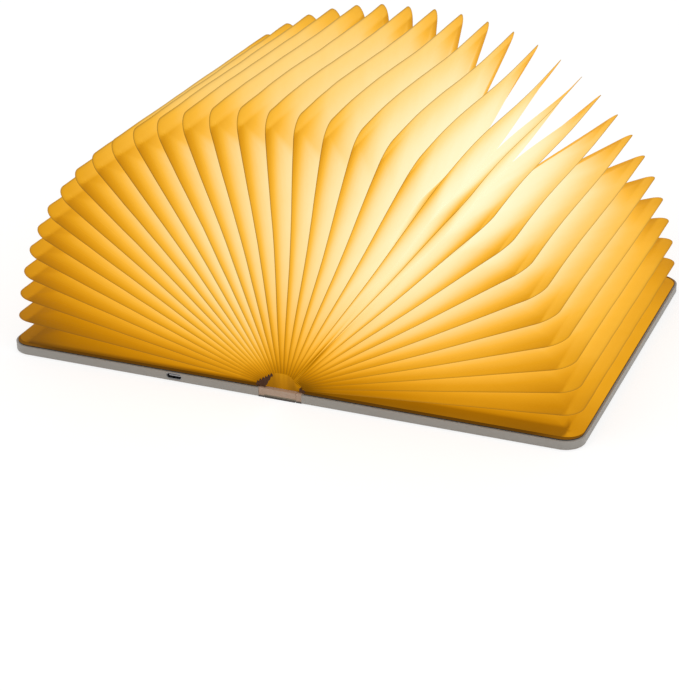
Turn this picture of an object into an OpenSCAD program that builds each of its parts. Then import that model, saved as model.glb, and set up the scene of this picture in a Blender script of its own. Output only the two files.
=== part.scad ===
// Folding book lamp. The pages of a hard-backed book are a paper bellows lampshade.
// Rest pose: open flat and standing on the outside of its covers, spine along Y,
// covers to -X and +X, charging socket at the -Y end of the left cover, +Z up.

/* [Covers] */
// Length of the book along its spine
cover_l = 215; // [180:1:260]
// Width of one cover from its hinge edge to its fore-edge
cover_w = 149.5; // [125:0.5:190]
// Radius of the two fore-edge corners of a cover
corner_r = 11; // [7:0.5:18]
// Thickness of the embossed leatherette on the outside
wrap_t = 0.8; // [0.5:0.1:1.5]
// Thickness of the grey housing inside a cover
tray_t = 4.1; // [3.9:0.1:8]
// Thickness of the housing's outer wall
floor_t = 0.8; // [0.6:0.1:0.9]
// Width of the housing's rim
rim_w = 2.4; // [1.6:0.1:4]
// Thickness of the housing's ribs
rib_t = 1.2; // [0.8:0.1:2]
// Number of ribs along the cover
ribs_across = 6; // [3:1:9]
// Number of ribs along the spine
ribs_along = 4; // [2:1:6]
// Thickness of the dark inner panel
panel_t = 0.5; // [0.3:0.1:1]
// How far the dark panel sits back from the edge
panel_inset = 1.1; // [0.5:0.1:2]

/* [Spine] */
// Distance between the two hinge axes
axis_gap = 18.6; // [18.4:0.1:30]
// Distance from a hinge axis to its cover's hinge edge
hinge_reach = 2.9; // [2.9:0.1:6]
// Gap between the spine's side and the hinge axis
spine_clear = 0.3; // [0.2:0.1:1]
// Thickness of the spine's stiffening board
spine_board_t = 1; // [0.6:0.1:1.2]
// Height of the moulded channel on the spine
channel_h = 3.5; // [3.4:0.1:3.6]
// Thickness of the channel's floor
channel_floor = 0.8; // [0.6:0.1:1]
// Thickness of the channel's side walls
channel_wall = 1.6; // [1:0.1:2]
// Length of the channel's closed ends
channel_end = 3; // [2:0.5:8]

/* [Bellows] */
// Number of pages on each side of the middle
pages = 16; // [10:1:16]
// Reach of a page from its hinge axis
page_reach = 151.5; // [125:0.5:190]
// How far a page stops short of each end of the cover
page_end_gap = 3; // [1:0.5:8]
// Outer corner radius of a page
page_corner_r = 10; // [9:0.5:16]
// Width of the glued hem around a page
hem_w = 8; // [4:0.5:8.5]
// Depth of the folds, from page edge to inner fold
fold_depth = 48; // [30:1:56]
// Corner radius of the inner fold
fold_corner_r = 6; // [3:0.5:12]
// Thickness of one sheet of paper
sheet_t = 0.12; // [0.08:0.01:0.14]
// Thickness of the paper pasted onto a cover
end_leaf_t = 0.3; // [0.2:0.05:0.5]
// How far the pasted paper sits back from the edge
end_leaf_inset = 0.4; // [0.2:0.1:2]
// Distance from a hinge axis to the root of each page
page_root = 3; // [3:0.1:6]
// How far the middle of the fan leans to the right, in degrees
lean = 1; // [0:0.1:1.5]
// How far the left half sags, in degrees
sag_left = 2; // [0:0.1:4]
// How far the right half sags, in degrees
sag_right = 3.3; // [0:0.1:4]
// Height of the tapes that close the page roots
tape_h = 9; // [5:0.5:14]

/* [Light] */
// Length of the light strip
strip_l = 100; // [80:1:106]
// Width of the light strip
strip_w = 8; // [6:0.5:8.5]
// Thickness of the light strip
strip_t = 0.6; // [0.4:0.1:0.8]
// Width of the strip's tail that runs to the flat cable
tail_w = 4; // [2:0.5:6]
// Number of light-emitting diodes
diodes = 12; // [6:1:16]
// Size of one diode
diode_size = [3.5, 2.8, 0.8]; // [0.5:0.1:5]
// Outer radius of the domed diffuser
dome_r = 5.4; // [5.2:0.1:5.6]
// Wall of the domed diffuser
dome_wall = 1; // [0.8:0.1:1.2]

/* [Power] */
// Distance of the socket's middle from the left hinge axis
socket_x = 52; // [30:1:70]
// Width, depth and height of the socket's metal shell
socket_size = [8.94, 7.3, 3.16]; // [2.8:0.02:10]
// Wall of the socket's shell
socket_wall = 0.3; // [0.2:0.05:0.4]
// Width, depth and thickness of the charging board
board_size = [22, 26, 0.8]; // [0.6:0.1:30]
// Length, width and thickness of the battery
battery_size = [52, 36, 2.8]; // [2.5:0.1:60]
// Diameter of a closing magnet
magnet_d = 8; // [5:0.5:9]
// Thickness of a closing magnet
magnet_t = 2; // [1:0.1:2.6]
// Distance of a magnet from both cover edges
magnet_edge = 15; // [13:0.5:22]
// Distance of the battery from the cover's fore-edge
battery_edge = 30; // [26:1:40]
// Diameter of the lid switch's glass tube
reed_d = 2; // [1.6:0.1:2.2]
// Length of the lid switch's glass tube
reed_l = 10; // [8:0.5:14]
// Distance of the flat cable from the front end of the book
cable_front = 32; // [30:1:36]
// Width of the flat cable over the hinge
cable_w = 6; // [4:0.5:8]
// Thickness of the flat cable
cable_t = 0.3; // [0.2:0.05:0.4]

/* [Hidden] */
$fn = 64;
// Clearance between pieces that lie in one another
fit = 0.1;
// Overlap that joins the shapes of one solid
join = 0.01;
// Steps of a page's corner arc
arc_steps = 4;
// Space between the two sheets that meet at an inner fold
glue_t = 0.08;
// Clearance over the light strip's tail
tail_gap = 0.2;
// Clearance around a piece in its pocket of the housing
pocket_gap = 0.5;
// Diameter and length of the lid switch's leads
lead_d = 0.6;
lead_l = 4;
// Depth of the socket's mouth behind the cover's edge
socket_set = 0.3;
// Length of the flat cable inside the left cover, from the hinge edge
cable_in = 9;
// Distance between the cross ribs that carry the page roots
root_pitch = 12;

cover_t = wrap_t + tray_t + panel_t;
axis_x = axis_gap / 2;
axis_z = cover_t / 2;
tray_z = wrap_t + floor_t;
tray_top = wrap_t + tray_t;
edge_x = hinge_reach + cover_w;
spine_half = axis_x - spine_clear;
spine_edge_r = 0.4 * wrap_t;
channel_z = wrap_t + spine_board_t;
channel_top = channel_z + channel_h;
channel_in = spine_half - channel_wall;
strip_z = channel_z + channel_floor;
page_end = cover_l / 2 - page_end_gap;
page_t = 2 * sheet_t;
fold_end = page_end - fold_depth;
leaf_z = cover_t;
leaf_place = pages + 0.5;
leaf_offset = leaf_z + end_leaf_t / 2 - axis_z;
sheet_off = (sheet_t + glue_t) / 2;
socket_z = wrap_t + tray_t / 2;
board_front = socket_set + socket_size[1] + fit - cover_l / 2;
board_end = board_front + board_size[1];
battery_x = edge_x - battery_edge - battery_size[0] / 2;
switch_x = socket_x + board_size[0] / 2 + reed_l / 2 + 7;
cable_y = cable_front - cover_l / 2;
cable_end = hinge_reach + cable_in;
dome_end = strip_l / 2 + 3;

function two_digits(i) = str(i < 10 ? "0" : "", i);
function page_names(side) = [for (i = [1:pages]) str(side, "_page_", two_digits(i))];

// A page's place in its half is 0 in the middle of the fan and leaf_place on the cover.
// Angle from upright at a place, with the lean and the sag of the paper.
function half_angle(place, side) =
    90 * place / leaf_place
    + side * lean * (1 - place / leaf_place)
    + (side < 0 ? sag_left : sag_right) * sin(180 * place / leaf_place);
function page_angle(place, side) = place == 0 ? 0 : half_angle(place, side);

// Distance of the page's plane from its hinge axis, so that closed pages lie side by side.
function page_offset(place) = axis_x + (leaf_offset - axis_x) * place / leaf_place;

// Outline of a page in its own plane, as [reach, y], set back from its edge.
function page_path(inset, r) =
    let (reach = page_reach - inset, end = page_end - inset)
    concat(
        [[page_root, -end]],
        [for (i = [0:arc_steps]) let (a = 90 * i / arc_steps)
            [reach - r + r * sin(a), -end + r - r * cos(a)]],
        [for (i = [0:arc_steps]) let (a = 90 * i / arc_steps)
            [reach - r + r * cos(a), end - r + r * sin(a)]],
        [[page_root, end]]
    );

// Point of a page's plane in the right half.
function on_plane(point, angle, offset) = [
    axis_x + point[0] * sin(angle) - offset * cos(angle),
    point[1],
    axis_z + point[0] * cos(angle) + offset * sin(angle)
];

// One half of the lamp: children are drawn for the right half, from the middle of the spine.
module half(side) {
    mirror([side < 0 ? 1 : 0, 0, 0]) children();
}

// A cover's frame: x runs from its hinge axis to its fore-edge.
module cover_frame(side) {
    half(side) translate([axis_x, 0, 0]) children();
}

// Outline of a cover, with the two fore-edge corners rounded.
module cover_2d(inset = 0) {
    x0 = hinge_reach + inset;
    x1 = edge_x - inset;
    y1 = cover_l / 2 - inset;
    r = corner_r - inset;
    translate([x0, -y1]) square([x1 - r - x0, 2 * y1]);
    translate([x1 - r - join, r - y1]) square([r + join, 2 * (y1 - r)]);
    for (end = [-1, 1]) translate([x1 - r, end * (y1 - r)]) circle(r);
}

module cover_plate(side, z, t, inset = 0) {
    cover_frame(side) translate([0, 0, z]) linear_extrude(t) cover_2d(inset);
}

// Where the magnets stand in a cover: by both fore-edge corners.
function magnet_places() =
    [for (end = [-1, 1]) [edge_x - magnet_edge, end * (cover_l / 2 - magnet_edge)]];

// Where the lid switch lies in the left cover, and its magnet in the right one.
function switch_place() = [switch_x, magnet_edge - cover_l / 2];

module ribs_2d() {
    for (i = [1:ribs_across]) {
        y = -cover_l / 2 + cover_l * i / (ribs_across + 1);
        translate([hinge_reach, y - rib_t / 2]) square([cover_w, rib_t]);
    }
    for (i = [1:ribs_along]) {
        x = hinge_reach + cover_w * i / (ribs_along + 1);
        translate([x - rib_t / 2, -cover_l / 2]) square([rib_t, cover_l]);
    }
}

// The magnets' round seats stand up from the floor of the housing.
module magnet_seats(places) {
    seat_r = magnet_d / 2 + rib_t;
    for (p = places) translate([p[0], p[1], tray_z - join])
        difference() {
            cylinder(r = seat_r, h = magnet_t + join);
            translate([0, 0, join]) cylinder(r = magnet_d / 2 + fit, h = magnet_t + join);
        }
}

module seat_hole(p) {
    translate([p[0], p[1], tray_z])
        cylinder(r = magnet_d / 2 + rib_t - join, h = tray_t);
}

// The housing: outer wall, rim and ribs, open towards the dark panel.
module tray_body(side, places) {
    color("lightgray") {
        difference() {
            translate([0, 0, wrap_t]) linear_extrude(tray_t) cover_2d();
            translate([0, 0, tray_z]) linear_extrude(tray_t) difference() {
                cover_2d(rim_w);
                ribs_2d();
            }
            for (p = places) seat_hole(p);
            if (side < 0) power_pockets();
        }
        magnet_seats(places);
    }
}

// A pocket in the left housing for a piece of this width and length.
module pocket(x, y, w, l) {
    translate([x, y, tray_z]) linear_extrude(tray_t)
        square([w + 2 * pocket_gap, l + 2 * pocket_gap], center = true);
}

// Room in the left housing for the battery, the board, the socket, the lid switch and the cable.
module power_pockets() {
    switch = switch_place();
    pocket(battery_x, 0, battery_size[0], battery_size[1]);
    pocket(socket_x, (board_front + board_end) / 2, board_size[0], board_size[1]);
    pocket(switch[0], switch[1], reed_l + 2 * lead_l, reed_d);
    pocket(cable_end / 2, cable_y, cable_end, cable_w);
    translate([socket_x, -cover_l / 2, socket_z])
        socket_shape(fit, socket_set + socket_size[1] + fit);
}

// Stadium-shaped bar along Y, grown by g all round, to this depth behind y = 0.
module socket_shape(g, depth) {
    r = socket_size[2] / 2;
    w = socket_size[0] / 2 - r;
    translate([0, -1, 0]) rotate([-90, 0, 0]) linear_extrude(depth + 1) {
        for (end = [-1, 1]) translate([end * w, 0]) circle(r + g);
        square([2 * w, 2 * (r + g)], center = true);
    }
}

module tray(side) {
    places = side < 0 ? magnet_places() : concat(magnet_places(), [switch_place()]);
    cover_frame(side) tray_body(side, places);
}

module magnets(side) {
    places = side < 0 ? magnet_places() : concat(magnet_places(), [switch_place()]);
    color("silver") cover_frame(side) for (p = places)
        translate([p[0], p[1], tray_z]) cylinder(d = magnet_d, h = magnet_t);
}

module wrap(side) {
    color([0.25, 0.19, 0.16]) cover_plate(side, 0, wrap_t);
}

module panel(side) {
    color([0.08, 0.07, 0.06]) cover_plate(side, tray_top, panel_t, panel_inset);
}

module end_leaf(side) {
    color([0.85, 0.55, 0.12]) cover_plate(side, leaf_z, end_leaf_t, end_leaf_inset);
}

// The leatherette that bends between the spine and a cover.
module hinge_strip(side) {
    color([0.15, 0.11, 0.09]) half(side)
        translate([spine_half + fit / 2, -cover_l / 2, 0])
            cube([spine_clear + hinge_reach - fit, cover_l, wrap_t]);
}

module spine_bar(z, t, end) {
    translate([-spine_half, -cover_l / 2 + end, z])
        cube([2 * spine_half, cover_l - 2 * end, t]);
}

// The leatherette over the spine, its two long edges rounded on the outside.
module spine_wrap() {
    r = spine_edge_r;
    color([0.2, 0.15, 0.12]) rotate([90, 0, 0]) linear_extrude(cover_l, center = true) {
        translate([-spine_half, r]) square([2 * spine_half, wrap_t - r]);
        translate([r - spine_half, 0]) square([2 * (spine_half - r), r + join]);
        for (end = [-1, 1]) translate([end * (spine_half - r), r]) circle(r);
    }
}

module spine_board() {
    color("gray") spine_bar(wrap_t, spine_board_t, 0.5);
}

// The moulded channel: closed ends, side walls, and a slot for the flat cable.
module spine_channel() {
    hollow_l = cover_l - 2 * channel_end;
    color([0.86, 0.74, 0.66]) difference() {
        spine_bar(channel_z, channel_h, 0);
        translate([-channel_in, -hollow_l / 2, strip_z])
            cube([2 * channel_in, hollow_l, channel_h]);
        translate([-spine_half - 1, cable_y - cable_w / 2 - pocket_gap, strip_z])
            cube([channel_wall + 2, cable_w + 2 * pocket_gap, channel_h]);
    }
    // Cross ribs that carry the page roots between the diffuser and the closed ends
    color([0.86, 0.74, 0.66]) for (y = [dome_end + 4:root_pitch:hollow_l / 2 - 2], end = [-1, 1])
        if (abs(end * y - cable_y) > cable_w) difference() {
            translate([-channel_in - join, end * y - rib_t / 2, strip_z - join])
                cube([2 * (channel_in + join), rib_t, channel_top - strip_z + join]);
            if (end < 0) tail_room();
        }
}

// Room for the light strip's tail under the ribs and the diffuser's front end.
module tail_room() {
    w = tail_w + 2 * tail_gap;
    translate([-w / 2, -cover_l / 2, strip_z - 1])
        cube([w, (cover_l - strip_l) / 2, strip_t + tail_gap + 1]);
}

// The strip's board, with a narrow tail to the flat cable.
module light_strip() {
    tail_end = cable_y - cable_w / 2;
    color("white") {
        translate([-strip_w / 2, -strip_l / 2, strip_z]) cube([strip_w, strip_l, strip_t]);
        translate([-tail_w / 2, tail_end, strip_z])
            cube([tail_w, join - strip_l / 2 - tail_end, strip_t]);
    }
}

module diodes() {
    pitch = strip_l / diodes;
    color("khaki") for (i = [0:diodes - 1])
        translate([0, -strip_l / 2 + pitch * (i + 0.5), strip_z + strip_t])
            linear_extrude(diode_size[2])
                square([diode_size[0], diode_size[1]], center = true);
}

// A domed lens along the light strip, with a foot on each side and closed ends.
module diffuser() {
    foot_z = strip_z + fit;
    foot_h = channel_top - foot_z;
    color([1, 0.97, 0.9]) difference() {
        union() {
            translate([0, dome_end, channel_top]) rotate([90, 0, 0])
                cylinder(r = dome_r, h = 2 * dome_end);
            translate([-dome_r, -dome_end, foot_z])
                cube([2 * dome_r, 2 * dome_end, foot_h]);
        }
        translate([0, dome_end - dome_wall, channel_top]) rotate([90, 0, 0])
            cylinder(r = dome_r - dome_wall, h = 2 * (dome_end - dome_wall));
        translate([-dome_r + dome_wall - join, -dome_end + dome_wall, foot_z - 1])
            cube([2 * (dome_r - dome_wall + join), 2 * (dome_end - dome_wall), foot_h + 1]);
        translate([-dome_r - 1, -dome_end - 1, foot_z - dome_r])
            cube([2 * dome_r + 2, 2 * dome_end + 2, dome_r]);
        tail_room();
    }
}

// Paper tapes that close the page roots at both ends of the spine.
module root_tapes() {
    tape_half = axis_x - leaf_offset - end_leaf_t;
    tape_t = page_t;
    color([0.8, 0.5, 0.12]) for (end = [-1, 1])
        translate([-tape_half, end * (page_end + fit + tape_t / 2) - tape_t / 2, channel_top])
            cube([2 * tape_half, tape_t, tape_h]);
}

module battery() {
    r = battery_size[2] / 2;
    color("silver") cover_frame(-1) translate([battery_x, 0, tray_z + r]) {
        cube([battery_size[0] - 2 * r, battery_size[1], 2 * r], center = true);
        for (end = [-1, 1]) translate([end * (battery_size[0] / 2 - r), 0, 0])
            rotate([90, 0, 0]) cylinder(r = r, h = battery_size[1], center = true);
    }
}

// Charging board with its chip, coil, battery plug and a row of small parts. The socket
// stands at its front edge.
module charging_board() {
    margin = 3;
    chip = [5, 5, 1];
    coil_d = 5;
    coil_h = 1.4;
    plug = [6, 4.5, 2];
    small = [0.8, 1.6, 0.5];
    small_parts = 6;
    top = board_size[2] - join;
    color("seagreen") cover_frame(-1)
        translate([socket_x - board_size[0] / 2, board_front, tray_z]) {
            cube(board_size);
            translate([margin, 8, top]) cube(chip + [0, 0, join]);
            translate([board_size[0] - margin - coil_d / 2, 8 + coil_d / 2, top])
                cylinder(d = coil_d, h = coil_h + join);
            translate([(board_size[0] - plug[0]) / 2, board_size[1] - plug[1] - margin, top])
                cube(plug + [0, 0, join]);
            for (i = [0:small_parts - 1]) {
                pitch = (board_size[0] - 2 * margin) / small_parts;
                translate([margin + pitch * (i + 0.5) - small[0] / 2, margin, top])
                    cube(small + [0, 0, join]);
            }
        }
}

// Charging socket: a metal shell with a tongue, its mouth in the left cover's front edge.
module charging_socket() {
    depth = socket_size[1];
    mouth_w = socket_size[0] - 2 * socket_wall;
    tongue = [mouth_w - 1.6, depth - 1, 0.7];
    color("silver") cover_frame(-1) translate([socket_x, socket_set - cover_l / 2, socket_z]) {
        difference() {
            socket_shape(0, depth);
            translate([-cover_w / 2, -depth, -tray_t]) cube([cover_w, depth, 2 * tray_t]);
            socket_shape(-socket_wall, depth - socket_wall);
        }
        translate([-tongue[0] / 2, depth - tongue[1], -tongue[2] / 2]) cube(tongue);
    }
}

// Lid switch: a glass tube with a lead at each end, worked by the magnet in the right cover.
module lid_switch() {
    p = switch_place();
    color([0.6, 0.75, 0.7]) cover_frame(-1)
        translate([p[0], p[1], tray_z + reed_d / 2]) rotate([0, 90, 0]) {
            cylinder(d = reed_d, h = reed_l, center = true);
            cylinder(d = lead_d, h = reed_l + 2 * lead_l, center = true);
        }
}

// Flat cable from the left cover over its hinge to the light strip.
module flat_cable() {
    low = [[hinge_reach + fit, tray_z + fit], [cable_end, tray_z + fit]];
    high = [[tail_w / 2 + fit - axis_x, strip_z + fit], [-spine_clear, strip_z + fit]];
    up = [0, cable_t];
    color("orange") cover_frame(-1) translate([0, cable_y + cable_w / 2, 0])
        rotate([90, 0, 0]) linear_extrude(cable_w) polygon([
            high[0], high[1], low[0], low[1],
            low[1] + up, low[0] + up, high[1] + up, high[0] + up
        ]);
}

// Page outline for the glued hem, rounded at the two outer corners.
module page_2d(inset, r, root) {
    reach = page_reach - inset;
    end = page_end - inset;
    translate([root, -end]) square([reach - r - root, 2 * end]);
    translate([reach - r - join, r - end]) square([r + join, 2 * (end - r)]);
    for (y = [-1, 1]) translate([reach - r, y * (end - r)]) circle(r);
}

// One page: the U-shaped hem in which two sheets are glued, on its own plane.
module page(side, i) {
    place = i - 0.5;
    color([0.95, 0.68, 0.25]) cover_frame(side) translate([0, 0, axis_z])
        rotate([0, page_angle(place, side) - 90, 0])
            translate([0, 0, page_offset(place) - page_t / 2])
                linear_extrude(page_t) difference() {
                    page_2d(0, page_corner_r, page_root);
                    page_2d(hem_w, page_corner_r - hem_w, page_root - 1);
                }
}

// Edges of one sheet: on the hem that holds it, and on the inner fold it meets.
hem_path = page_path(hem_w + sheet_t / 2, page_corner_r - hem_w - sheet_t / 2);
fold_path = page_path(fold_depth, fold_corner_r);
path_n = len(hem_path);
sheet_points = 4 * path_n;

// A sheet runs from a hem, [angle, offset], to an inner fold, [angle, offset].
function sheet_corners(hem, fold) =
    let (h = sheet_t / 2)
    concat(
        [for (p = hem_path) on_plane(p, hem[0], hem[1] + h)],
        [for (p = hem_path) on_plane(p, hem[0], hem[1] - h)],
        [for (p = fold_path) on_plane(p, fold[0], fold[1] + h)],
        [for (p = fold_path) on_plane(p, fold[0], fold[1] - h)]
    );

function quad(a, b, c, d) = [[a, c, b], [a, d, c]];

// Faces of the sheet whose corners start at number s: its two ends, then its long sides.
function sheet_faces(s) =
    let (n = path_n, hem = s, under_hem = s + n, fold = s + 2 * n, under_fold = s + 3 * n)
    concat(
        quad(under_hem, hem, fold, under_fold),
        quad(hem + n - 1, under_hem + n - 1, under_fold + n - 1, fold + n - 1),
        [for (i = [0:n - 2]) each concat(
            quad(hem + i, hem + i + 1, fold + i + 1, fold + i),
            quad(under_hem + i, under_fold + i, under_fold + i + 1, under_hem + i + 1),
            quad(under_hem + i, under_hem + i + 1, hem + i + 1, hem + i),
            quad(fold + i, fold + i + 1, under_fold + i + 1, under_fold + i)
        )]
    );

// The sheet on one side of a hem: toward is 1 for the middle of the fan, -1 for the cover.
function page_sheet(i, side, toward) =
    let (at = i - 0.5, fold_at = toward > 0 ? i - 1 : i)
    sheet_corners(
        [page_angle(at, side), page_offset(at) + toward * sheet_off],
        [page_angle(fold_at, side), page_offset(fold_at) - toward * sheet_off]
    );

// The sheet that leaves the pasted paper for the last inner fold.
function last_sheet(side) = sheet_corners(
    [page_angle(leaf_place, side), leaf_offset + end_leaf_t / 2 + sheet_t],
    [page_angle(pages, side), page_offset(pages) - sheet_off]
);

// All the sheets of one half: two to a page, and one from the pasted paper.
module sheets(side) {
    corners = concat(
        [for (i = [1:pages], toward = [1, -1]) each page_sheet(i, side, toward)],
        last_sheet(side)
    );
    faces = [for (i = [0:2 * pages]) each sheet_faces(i * sheet_points)];
    color([1, 0.8, 0.4]) half(side) polyhedron(points = corners, faces = faces);
}

spine_wrap();
spine_board();
spine_channel();
light_strip();
diodes();
diffuser();
root_tapes();
hinge_strip(-1);  // left_hinge_strip
hinge_strip(1);  // right_hinge_strip
flat_cable();
wrap(-1);  // left_wrap
wrap(1);  // right_wrap
tray(-1);  // left_tray
tray(1);  // right_tray
panel(-1);  // left_panel
panel(1);  // right_panel
end_leaf(-1);  // left_end_leaf
end_leaf(1);  // right_end_leaf
magnets(-1);  // left_magnets
magnets(1);  // right_magnets
battery();
charging_board();
charging_socket();
lid_switch();
sheets(-1);  // left_sheets
sheets(1);  // right_sheets
for (i = [1:pages]) page(-1, i);
for (i = [1:pages]) page(1, i);
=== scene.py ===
"""Folding book lamp: its looks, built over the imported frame.

A hard-backed book whose pages are a paper bellows. The classes below are the lamp's
sub-assemblies. Sizes are in millimetres and are turned into metres when a mesh is made.
"""
import logging
import math
from dataclasses import dataclass, field
from enum import Enum

import bpy
import numpy as np
from mathutils import Matrix, Vector


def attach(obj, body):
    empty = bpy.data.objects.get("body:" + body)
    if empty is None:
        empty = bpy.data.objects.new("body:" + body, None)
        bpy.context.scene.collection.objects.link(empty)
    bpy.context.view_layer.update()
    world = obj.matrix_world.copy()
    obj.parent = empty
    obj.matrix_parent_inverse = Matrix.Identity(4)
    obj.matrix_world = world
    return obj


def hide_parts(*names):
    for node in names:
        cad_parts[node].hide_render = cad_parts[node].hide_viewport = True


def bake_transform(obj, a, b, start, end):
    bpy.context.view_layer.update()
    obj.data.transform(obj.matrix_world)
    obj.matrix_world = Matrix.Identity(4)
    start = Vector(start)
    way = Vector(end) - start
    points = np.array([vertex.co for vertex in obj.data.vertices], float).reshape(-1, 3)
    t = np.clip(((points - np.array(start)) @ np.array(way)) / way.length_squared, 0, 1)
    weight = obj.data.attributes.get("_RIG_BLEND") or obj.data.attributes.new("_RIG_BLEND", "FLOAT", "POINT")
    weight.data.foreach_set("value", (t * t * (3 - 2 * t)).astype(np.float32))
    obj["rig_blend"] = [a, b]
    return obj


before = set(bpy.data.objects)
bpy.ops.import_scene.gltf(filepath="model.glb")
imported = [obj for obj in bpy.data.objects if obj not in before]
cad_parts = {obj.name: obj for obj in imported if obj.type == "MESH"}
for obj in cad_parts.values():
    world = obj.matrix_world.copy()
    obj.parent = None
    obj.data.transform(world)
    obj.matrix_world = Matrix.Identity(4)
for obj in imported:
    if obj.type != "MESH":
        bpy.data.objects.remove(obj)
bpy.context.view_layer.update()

log = logging.getLogger("book_lamp")

MM = 0.001
# The hinge line and half the spine's width, which several of the sub-assemblies share.
AXIS_X, AXIS_Z = 9.3, 2.7
SPINE_HALF = 9.0

Socket = bpy.types.NodeSocket
Sockets = bpy.types.bpy_prop_collection
Feed = float | tuple | Socket
Array = np.ndarray
Numbers = float | Array
Piece = bpy.types.Object


class Side(Enum):
    """The two halves of the book."""

    LEFT = -1
    RIGHT = 1

    @property
    def word(self) -> str:
        """The side's name as the parts use it."""
        return self.name.lower()

    @property
    def cover(self) -> str:
        """The body of this side's cover."""
        return f"{self.word}_cover"


# ---- colours and nodes


def srgb(*display: float) -> tuple[float, ...]:
    """Turns a display colour into the linear values that shaders take.

    Args:
        *display: Red, green and blue, 0 to 255.

    Returns:
        Linear red, green and blue, and an alpha of 1.
    """
    shares = [value / 255 for value in display]
    linear = [v / 12.92 if v <= 0.04045 else ((v + 0.055) / 1.055) ** 2.4 for v in shares]
    return (*linear, 1.0)


class Graph:
    """A node tree that is filled one node at a time."""

    def __init__(self, tree: bpy.types.NodeTree) -> None:
        """Keeps the tree to fill."""
        self.tree = tree

    def feed(self, node: bpy.types.Node, inputs: dict) -> bpy.types.Node:
        """Sets a node's inputs.

        Args:
            node: The node.
            inputs: Socket name or number to a value, or to another node's socket.

        Returns:
            The same node.
        """
        for name, value in inputs.items():
            if isinstance(value, Socket):
                self.tree.links.new(value, node.inputs[name])
            else:
                node.inputs[name].default_value = value
        return node

    def add(self, kind: str, inputs: dict | None = None, **settings: object) -> bpy.types.Node:
        """Adds a node.

        Args:
            kind: The node's Blender type.
            inputs: Socket name or number to a value, or to another node's socket.
            **settings: Properties of the node.

        Returns:
            The new node.
        """
        node = self.tree.nodes.new(kind)
        for name, value in settings.items():
            setattr(node, name, value)
        return self.feed(node, inputs or {})

    def math(self, operation: str, *values: Feed, clamp: bool = False) -> Socket:
        """Adds a Math node.

        Args:
            operation: Blender's name of the operation.
            *values: Its two or three values or sockets.
            clamp: True to hold the result between 0 and 1.

        Returns:
            The output socket.
        """
        return self.add("ShaderNodeMath", dict(enumerate(values)), operation=operation,
                        use_clamp=clamp).outputs[0]

    def mix(self, factor: Feed, first: Feed, second: Feed, blend: str = "MIX") -> Socket:
        """Adds a colour mix.

        Args:
            factor: Share of the second colour, a value or socket.
            first: First colour or socket.
            second: Second colour or socket.
            blend: Blender's name of the way to mix.

        Returns:
            The output socket.
        """
        node = self.add("ShaderNodeMix", {0: factor, 6: first, 7: second},
                        data_type="RGBA", blend_type=blend)
        return node.outputs[2]

    def ramp(self, factor: Feed, stops: dict[float, tuple]) -> Socket:
        """Adds a colour ramp.

        Args:
            factor: The value that runs along the ramp.
            stops: Place of each stop to its display colour, in order.

        Returns:
            The colour socket.
        """
        node = self.add("ShaderNodeValToRGB", {0: factor})
        elements = node.color_ramp.elements
        while len(elements) < len(stops):
            elements.new(0.5)
        for element, (place, colour) in zip(elements, stops.items()):
            element.position, element.color = place, srgb(*colour)
        return node.outputs[0]

    def coordinates(self, stretch: tuple | None = None) -> Socket:
        """Adds the object's own coordinates.

        Args:
            stretch: Factors that stretch them along X, Y and Z, or None.

        Returns:
            The vector socket.
        """
        own = self.add("ShaderNodeTexCoord").outputs["Object"]
        if stretch is None:
            return own
        return self.add("ShaderNodeVectorMath", {0: own, 1: stretch},
                        operation="MULTIPLY").outputs[0]

    def noise(self, scale: Feed, detail: float = 3.0, rough: float = 0.55,
              stretch: tuple | None = None) -> Socket:
        """Adds a noise over the object's own coordinates.

        Args:
            scale: Grains per metre, a value or socket.
            detail: Octaves of finer noise.
            rough: Strength of the finer noise.
            stretch: Factors that stretch the coordinates, or None.

        Returns:
            The value socket.
        """
        return self.add("ShaderNodeTexNoise", {
            "Vector": self.coordinates(stretch), "Scale": scale, "Detail": detail,
            "Roughness": rough}).outputs[0]

    def mark(self, name: str) -> Socket:
        """The value that each point of the mesh carries under a name."""
        return self.add("ShaderNodeAttribute", attribute_name=name).outputs["Fac"]

    def backdrop_rays(self) -> Socket:
        """Finds the rays that see the backdrop: straight, mirrored or through glass.

        Returns:
            A socket that is 1 for them and 0 for the others.
        """
        path = self.add("ShaderNodeLightPath").outputs
        seen = self.math("MAXIMUM", path["Is Camera Ray"], path["Is Glossy Ray"])
        return self.math("MAXIMUM", seen, path["Is Transmission Ray"])


NUMBER, COLOUR = "NodeSocketFloat", "NodeSocketColor"


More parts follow.
